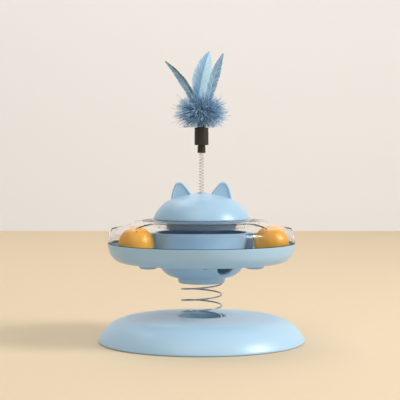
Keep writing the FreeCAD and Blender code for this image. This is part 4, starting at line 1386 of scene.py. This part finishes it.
@dataclass
class Plume(SubAssembly):
    """The tinsel pompom and its three feathers."""

    middle: float = 229.5
    reach: float = 24.5
    core: float = 9.0
    stem: float = 4.3
    floor: float = 214.2
    strands: int = 3000
    seed: int = 11
    barb_step: float = 0.36

    def build(self) -> None:
        """Builds the pompom and each feather."""
        self.pompom()
        self.feather("left_feather", "feather_left", Vector((-4, -3, 232)), Vector((-36.3, -4, 280)),
                     bow=-4.0, half=4.6, fullest=0.8, vanes=(BLUE_VANE, GREY_VANE), turn=-30, seed=7)
        self.feather("middle_feather", "feather_middle", Vector((-4.5, 2, 233)), Vector((7.9, 3, 289.8)),
                     bow=2.0, half=9.2, fullest=1.1, vanes=(BLUE_VANE, PALE_VANE_LIGHTENED), turn=20, seed=8, fold=2)
        self.feather("right_feather", "feather_right", Vector((5, -3, 232)), Vector((21.4, -4, 287.6)),
                     bow=2.0, half=5.3, fullest=1.0, vanes=(SLATE_VANE, SLATE_VANE), turn=25, seed=9)

    def pompom(self) -> None:
        """A dense round tuft of curled strands that leave a small core in all directions."""
        dice = random.Random(self.seed)
        bm = bmesh.new()
        uv = bm.loops.layers.uv.new("fibre")
        core = bmesh.ops.create_uvsphere(bm, u_segments=32, v_segments=20, radius=self.core * MM)["verts"]
        bmesh.ops.scale(bm, vec=(1.35, 1.35, 1.0), verts=core)
        bmesh.ops.translate(bm, vec=(0, 0, (self.middle - 2) * MM), verts=core)
        stem = bmesh.ops.create_cone(bm, cap_ends=True, segments=24, radius1=self.stem * MM,
                                     radius2=self.stem * MM, depth=18 * MM)["verts"]
        bmesh.ops.translate(bm, vec=(0, 0, 213 * MM), verts=stem)
        for _ in range(self.strands):
            height = dice.uniform(-0.80, 0.97)
            turn = dice.uniform(0, FULL_TURN)
            flat = math.sqrt(1 - height * height)
            way = Vector((flat * math.cos(turn), flat * math.sin(turn), height * 0.8))
            way += Vector([dice.gauss(0, 0.24) for _ in range(3)])
            way.normalize()
            length = dice.uniform(0.45, 1.02) * self.reach * (1 - 0.30 * abs(way.z) ** 1.5)
            aim = Vector((0, 0, 1)).rotation_difference(way).to_matrix().to_4x4()
            spin = Matrix.Rotation(dice.uniform(0, FULL_TURN), 4, "Z")
            place = Matrix.Translation(Vector((0, 0, self.middle * MM)) + way * 3 * MM) @ aim @ spin
            self.strip(bm, uv, place @ Matrix.Scale(length * MM, 4), half=0.30 / length,
                       sway=(dice.gauss(0, 0.32), dice.uniform(-0.10, 0.10)), tone=dice.random())
        floor = self.floor * MM
        for vert in bm.verts:
            if vert.co.z < floor and vert.co.xy.length > (self.stem + 0.1) * MM:
                vert.co.z = floor + dice.uniform(0, 0.8) * MM
        self.keep(finished(bm, "tinsel_tuft"), TINSEL_FIBRE, Body.TEASER, "tinsel_pompom")

    def strip(self, bm: BMesh, uv: BMLayerItem, place: Matrix, half: float,
              sway: tuple[float, float], tone: float) -> None:
        """Adds a thin tapering strip, one unit long along +Z before it is placed.

        Args:
            bm: the mesh that takes it.
            uv: the layer that holds the strip's tone and the way along it.
            place: where it goes and how long it is.
            half: half its width at the root, as a share of its length.
            sway: how far its tip leans, and how wavy it is.
            tone: its own shade, 0 to 1.
        """
        verts = bmesh.ops.create_grid(bm, x_segments=1, y_segments=6, size=0.5)["verts"]
        lean, wave = sway
        for vert in verts:
            along = vert.co.y + 0.5
            side = 2 * vert.co.x * half * (1 - 0.55 * along)
            vert.co = Vector((side, lean * along * along + wave * math.sin(9 * along), along))
            for loop in vert.link_loops:
                loop[uv].uv = (tone, along)
        bmesh.ops.transform(bm, verts=verts, matrix=place)

    def feather(self, name: str, node: str, root: Vector, tip: Vector, bow: float, half: float,
                fullest: float, vanes: tuple[Fibre, Fibre], turn: float, seed: int,
                fold: float = 16.0) -> None:
        """A feather: a tapering quill with a vane of many fine barbs on both sides.

        Args:
            name: the piece's name.
            node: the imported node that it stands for.
            root: where the quill starts, in millimetres.
            tip: where the vane ends.
            bow: how far the quill bows sideways.
            half: the vane's widest reach to one side.
            fullest: below 1 the vane is widest near its root, above 1 near its tip.
            vanes: the finish of the left vane and of the right one.
            turn: how far the vane is turned about its quill, in degrees.
            seed: fixes the small differences between barbs.
            fold: how far each vane leans back from there, in degrees.
        """
        dice = random.Random(seed)
        along = tip - root
        side = along.cross(Vector((0, 1, 0))).normalized()

        def quill(share: float) -> Vector:
            """The quill's middle line, in metres, at a share of its length."""
            return (root + along * share + side * bow * 4 * share * (1 - share)) * MM

        def reach_from(share: float, slant: float) -> float:
            """How far a barb goes sideways so that its end lies on the pointed outline.

            Args:
                share: where it leaves the quill, as a share of the quill's length.
                slant: how far it runs ahead for each millimetre sideways.

            Returns:
                Its reach, in millimetres.
            """
            low, high = 0.0, half
            for _ in range(14):
                middle = (low + high) / 2
                ends = min(share + middle * slant / along.length, 1.0)
                if half * math.sin(math.pi * ends ** fullest) ** 0.8 > middle:
                    low = middle
                else:
                    high = middle
            return low

        count = int(along.length / self.barb_step)
        for hand, finish in zip((1, -1), vanes):
            bm = bmesh.new()
            uv = bm.loops.layers.uv.new("fibre")
            clump, shade = 0.0, 0.5
            for number in range(count):
                share = 0.12 + 0.875 * number / count
                ahead = (quill(min(share + 0.01, 1.0)) - quill(share - 0.01)).normalized()
                lean = Matrix.Rotation(math.radians(turn + fold * hand), 3, ahead)
                out = (lean @ ahead.cross(Vector((0, 1, 0)))).normalized() * hand
                if dice.random() < 0.07:
                    clump = dice.uniform(-0.30, 0.06)
                clump *= 0.84
                if number % 4 == 0:
                    shade = dice.uniform(0.1, 1.0)
                lift = 0.62 + 0.4 * share + clump * 0.5 + dice.uniform(-0.03, 0.03)
                reach = reach_from(share, math.tan(lift)) * (1 + dice.uniform(-0.08, 0.04) + clump) + 0.3
                way = (out * math.cos(lift) + ahead * math.sin(lift)).normalized()
                width = (ahead * math.cos(lift) - out * math.sin(lift)).normalized()
                aim = Matrix((width, way.cross(width), way)).transposed().to_4x4()
                size = Matrix.Scale(reach / math.cos(lift) * MM, 4)
                place = Matrix.Translation(quill(share)) @ aim @ size
                tone = min(max(shade + clump * 2 + dice.uniform(-0.2, 0.2), 0), 1)
                self.strip(bm, uv, place, half=0.33 * math.cos(lift) / reach, sway=(0.05, 0.0), tone=tone)
            stands_for = (node,) if hand > 0 else ()
            self.keep(finished(bm, f"{name}_vane_{hand + 1}"), finish, Body.TEASER, *stands_for)
        line = [quill(step / 24) for step in range(25)]
        stem = wire_along(name + "_quill", line, 0.5 * MM, sides=2)
        for vert in stem.data.vertices:
            share = (vert.co - line[0]).dot(line[-1] - line[0]) / (line[-1] - line[0]).length_squared
            middle = quill(min(max(share, 0), 1))
            vert.co = middle + (vert.co - middle) * (1 - 0.75 * share)
        self.keep(stem, FEATHER_QUILL, Body.TEASER)


# Stage, lamps and camera.


@dataclass(frozen=True)
class Lamp:
    """A square area lamp, in metres and watts."""

    name: str
    place: Point
    aim: Point
    size: float
    energy: float
    colour: Colour

    def build(self) -> None:
        """Puts the lamp in its place and points it."""
        data = bpy.data.lights.new(self.name, "AREA")
        data.size, data.energy, data.color = self.size, self.energy, self.colour
        lamp = placed(self.name, data)
        lamp.location = self.place
        lamp.rotation_euler = (Vector(self.aim) - Vector(self.place)).to_track_quat("-Z", "Y").to_euler()


@dataclass
class Studio:
    """The plain floor and wall, the lamps and the camera."""

    floor_colour: Colour = (0.875, 0.795, 0.67)
    floor_bounce: Colour = (0.845, 0.80, 0.735)
    wall_colour: Colour = (0.965, 0.955, 0.95)
    wall_place: float = 1.78
    sheet_size: float = 12.0
    sheet_roughness: float = 0.75
    lamps: tuple[Lamp, ...] = (
        Lamp("key", (1.6, -0.50, 1.15), (0, 0, 0.12), 0.70, 28.0, (1.0, 0.985, 0.965)),
        Lamp("front", (-0.3, -1.1, 1.6), (0, 0, 0.05), 1.3, 7.8, (0.98, 0.99, 1.0)),
        Lamp("back", (-0.5, 1.0, 2.0), (-0.3, 1.3, 0.1), 1.4, 14.0, (1.0, 0.99, 0.97)),
    )
    sky_colour: Colour = (1.0, 0.99, 0.975)
    sky_strength: float = 0.42
    camera_place: Point = (-0.0015, -1.300, 0.1917)
    camera_dip: float = 2.2
    lens: float = 117.0
    sensor: float = 36.0

    def build(self) -> None:
        """Sets everything round the toy."""
        half = self.sheet_size / 2
        self.sheet("floor", (self.floor_colour, self.floor_bounce), (0, self.wall_place - half, 0), 0)
        self.sheet("wall", (self.wall_colour, self.wall_colour), (0, self.wall_place, half), math.pi / 2)
        for lamp in self.lamps:
            lamp.build()
        self.sky()
        self.camera()
        bpy.context.scene.view_settings.view_transform = "Standard"

    def sheet(self, name: str, colours: tuple[Colour, Colour], place: Point, tip: float) -> None:
        """A large flat sheet of the backdrop.

        Args:
            name: the sheet's name.
            colours: the colour that is seen, and the one that tints the light it throws back.
            place: its middle.
            tip: how far it is tipped about the X axis, in radians.
        """
        bm = bmesh.new()
        bmesh.ops.create_grid(bm, x_segments=1, y_segments=1, size=self.sheet_size / 2)
        bmesh.ops.rotate(bm, cent=(0, 0, 0), matrix=Matrix.Rotation(tip, 3, "X"), verts=bm.verts[:])
        bmesh.ops.translate(bm, vec=place, verts=bm.verts[:])
        sheet = finished(bm, name)
        material = bpy.data.materials.new("plain_" + name)
        material.use_nodes = True
        tree = material.node_tree
        bounced = tree.nodes.new("ShaderNodeLightPath").outputs["Is Diffuse Ray"]
        fill(tree, tree.nodes["Principled BSDF"], {
            "Base Color": mix_colours(tree, bounced, *map(linear, colours)),
            "Roughness": self.sheet_roughness})
        sheet.data.materials.append(material)

    def sky(self) -> None:
        """An even, nearly white sky."""
        world = bpy.data.worlds.new("even_sky")
        world.use_nodes = True
        fill(world.node_tree, world.node_tree.nodes["Background"], {
            "Color": (*self.sky_colour, 1), "Strength": self.sky_strength})
        bpy.context.scene.world = world

    def camera(self) -> None:
        """The camera at the photograph's angle."""
        data = bpy.data.cameras.new("camera")
        data.lens, data.sensor_width = self.lens, self.sensor
        camera = placed("camera", data)
        camera.location = self.camera_place
        camera.rotation_euler = (math.radians(90 - self.camera_dip), 0, 0)
        bpy.context.scene.camera = camera


def main() -> None:
    """Builds every sub-assembly in order, then the studio round it."""
    logging.basicConfig(level=logging.INFO, format="%(message)s")
    parts: list[SubAssembly] = [
        Base(),
        MainSpring(),
        Hub(),
        Saucer(),
        Cover(),
        TrackBall("left_ball_shell", "left_ball", Body.FIRST_BALL, turn=205.0, lean=(35, 15)),
        TrackBall("right_ball_shell", "right_ball", Body.SECOND_BALL, turn=-12.0, lean=(-20, 50)),
        CatHeadLid(),
        Wand(),
        Plume(),
    ]
    for part in parts:
        part.build()
    Studio().build()
    LOG.info("%d new pieces in all", sum(len(part.pieces) for part in parts))


if __name__ == "__main__":
    main()
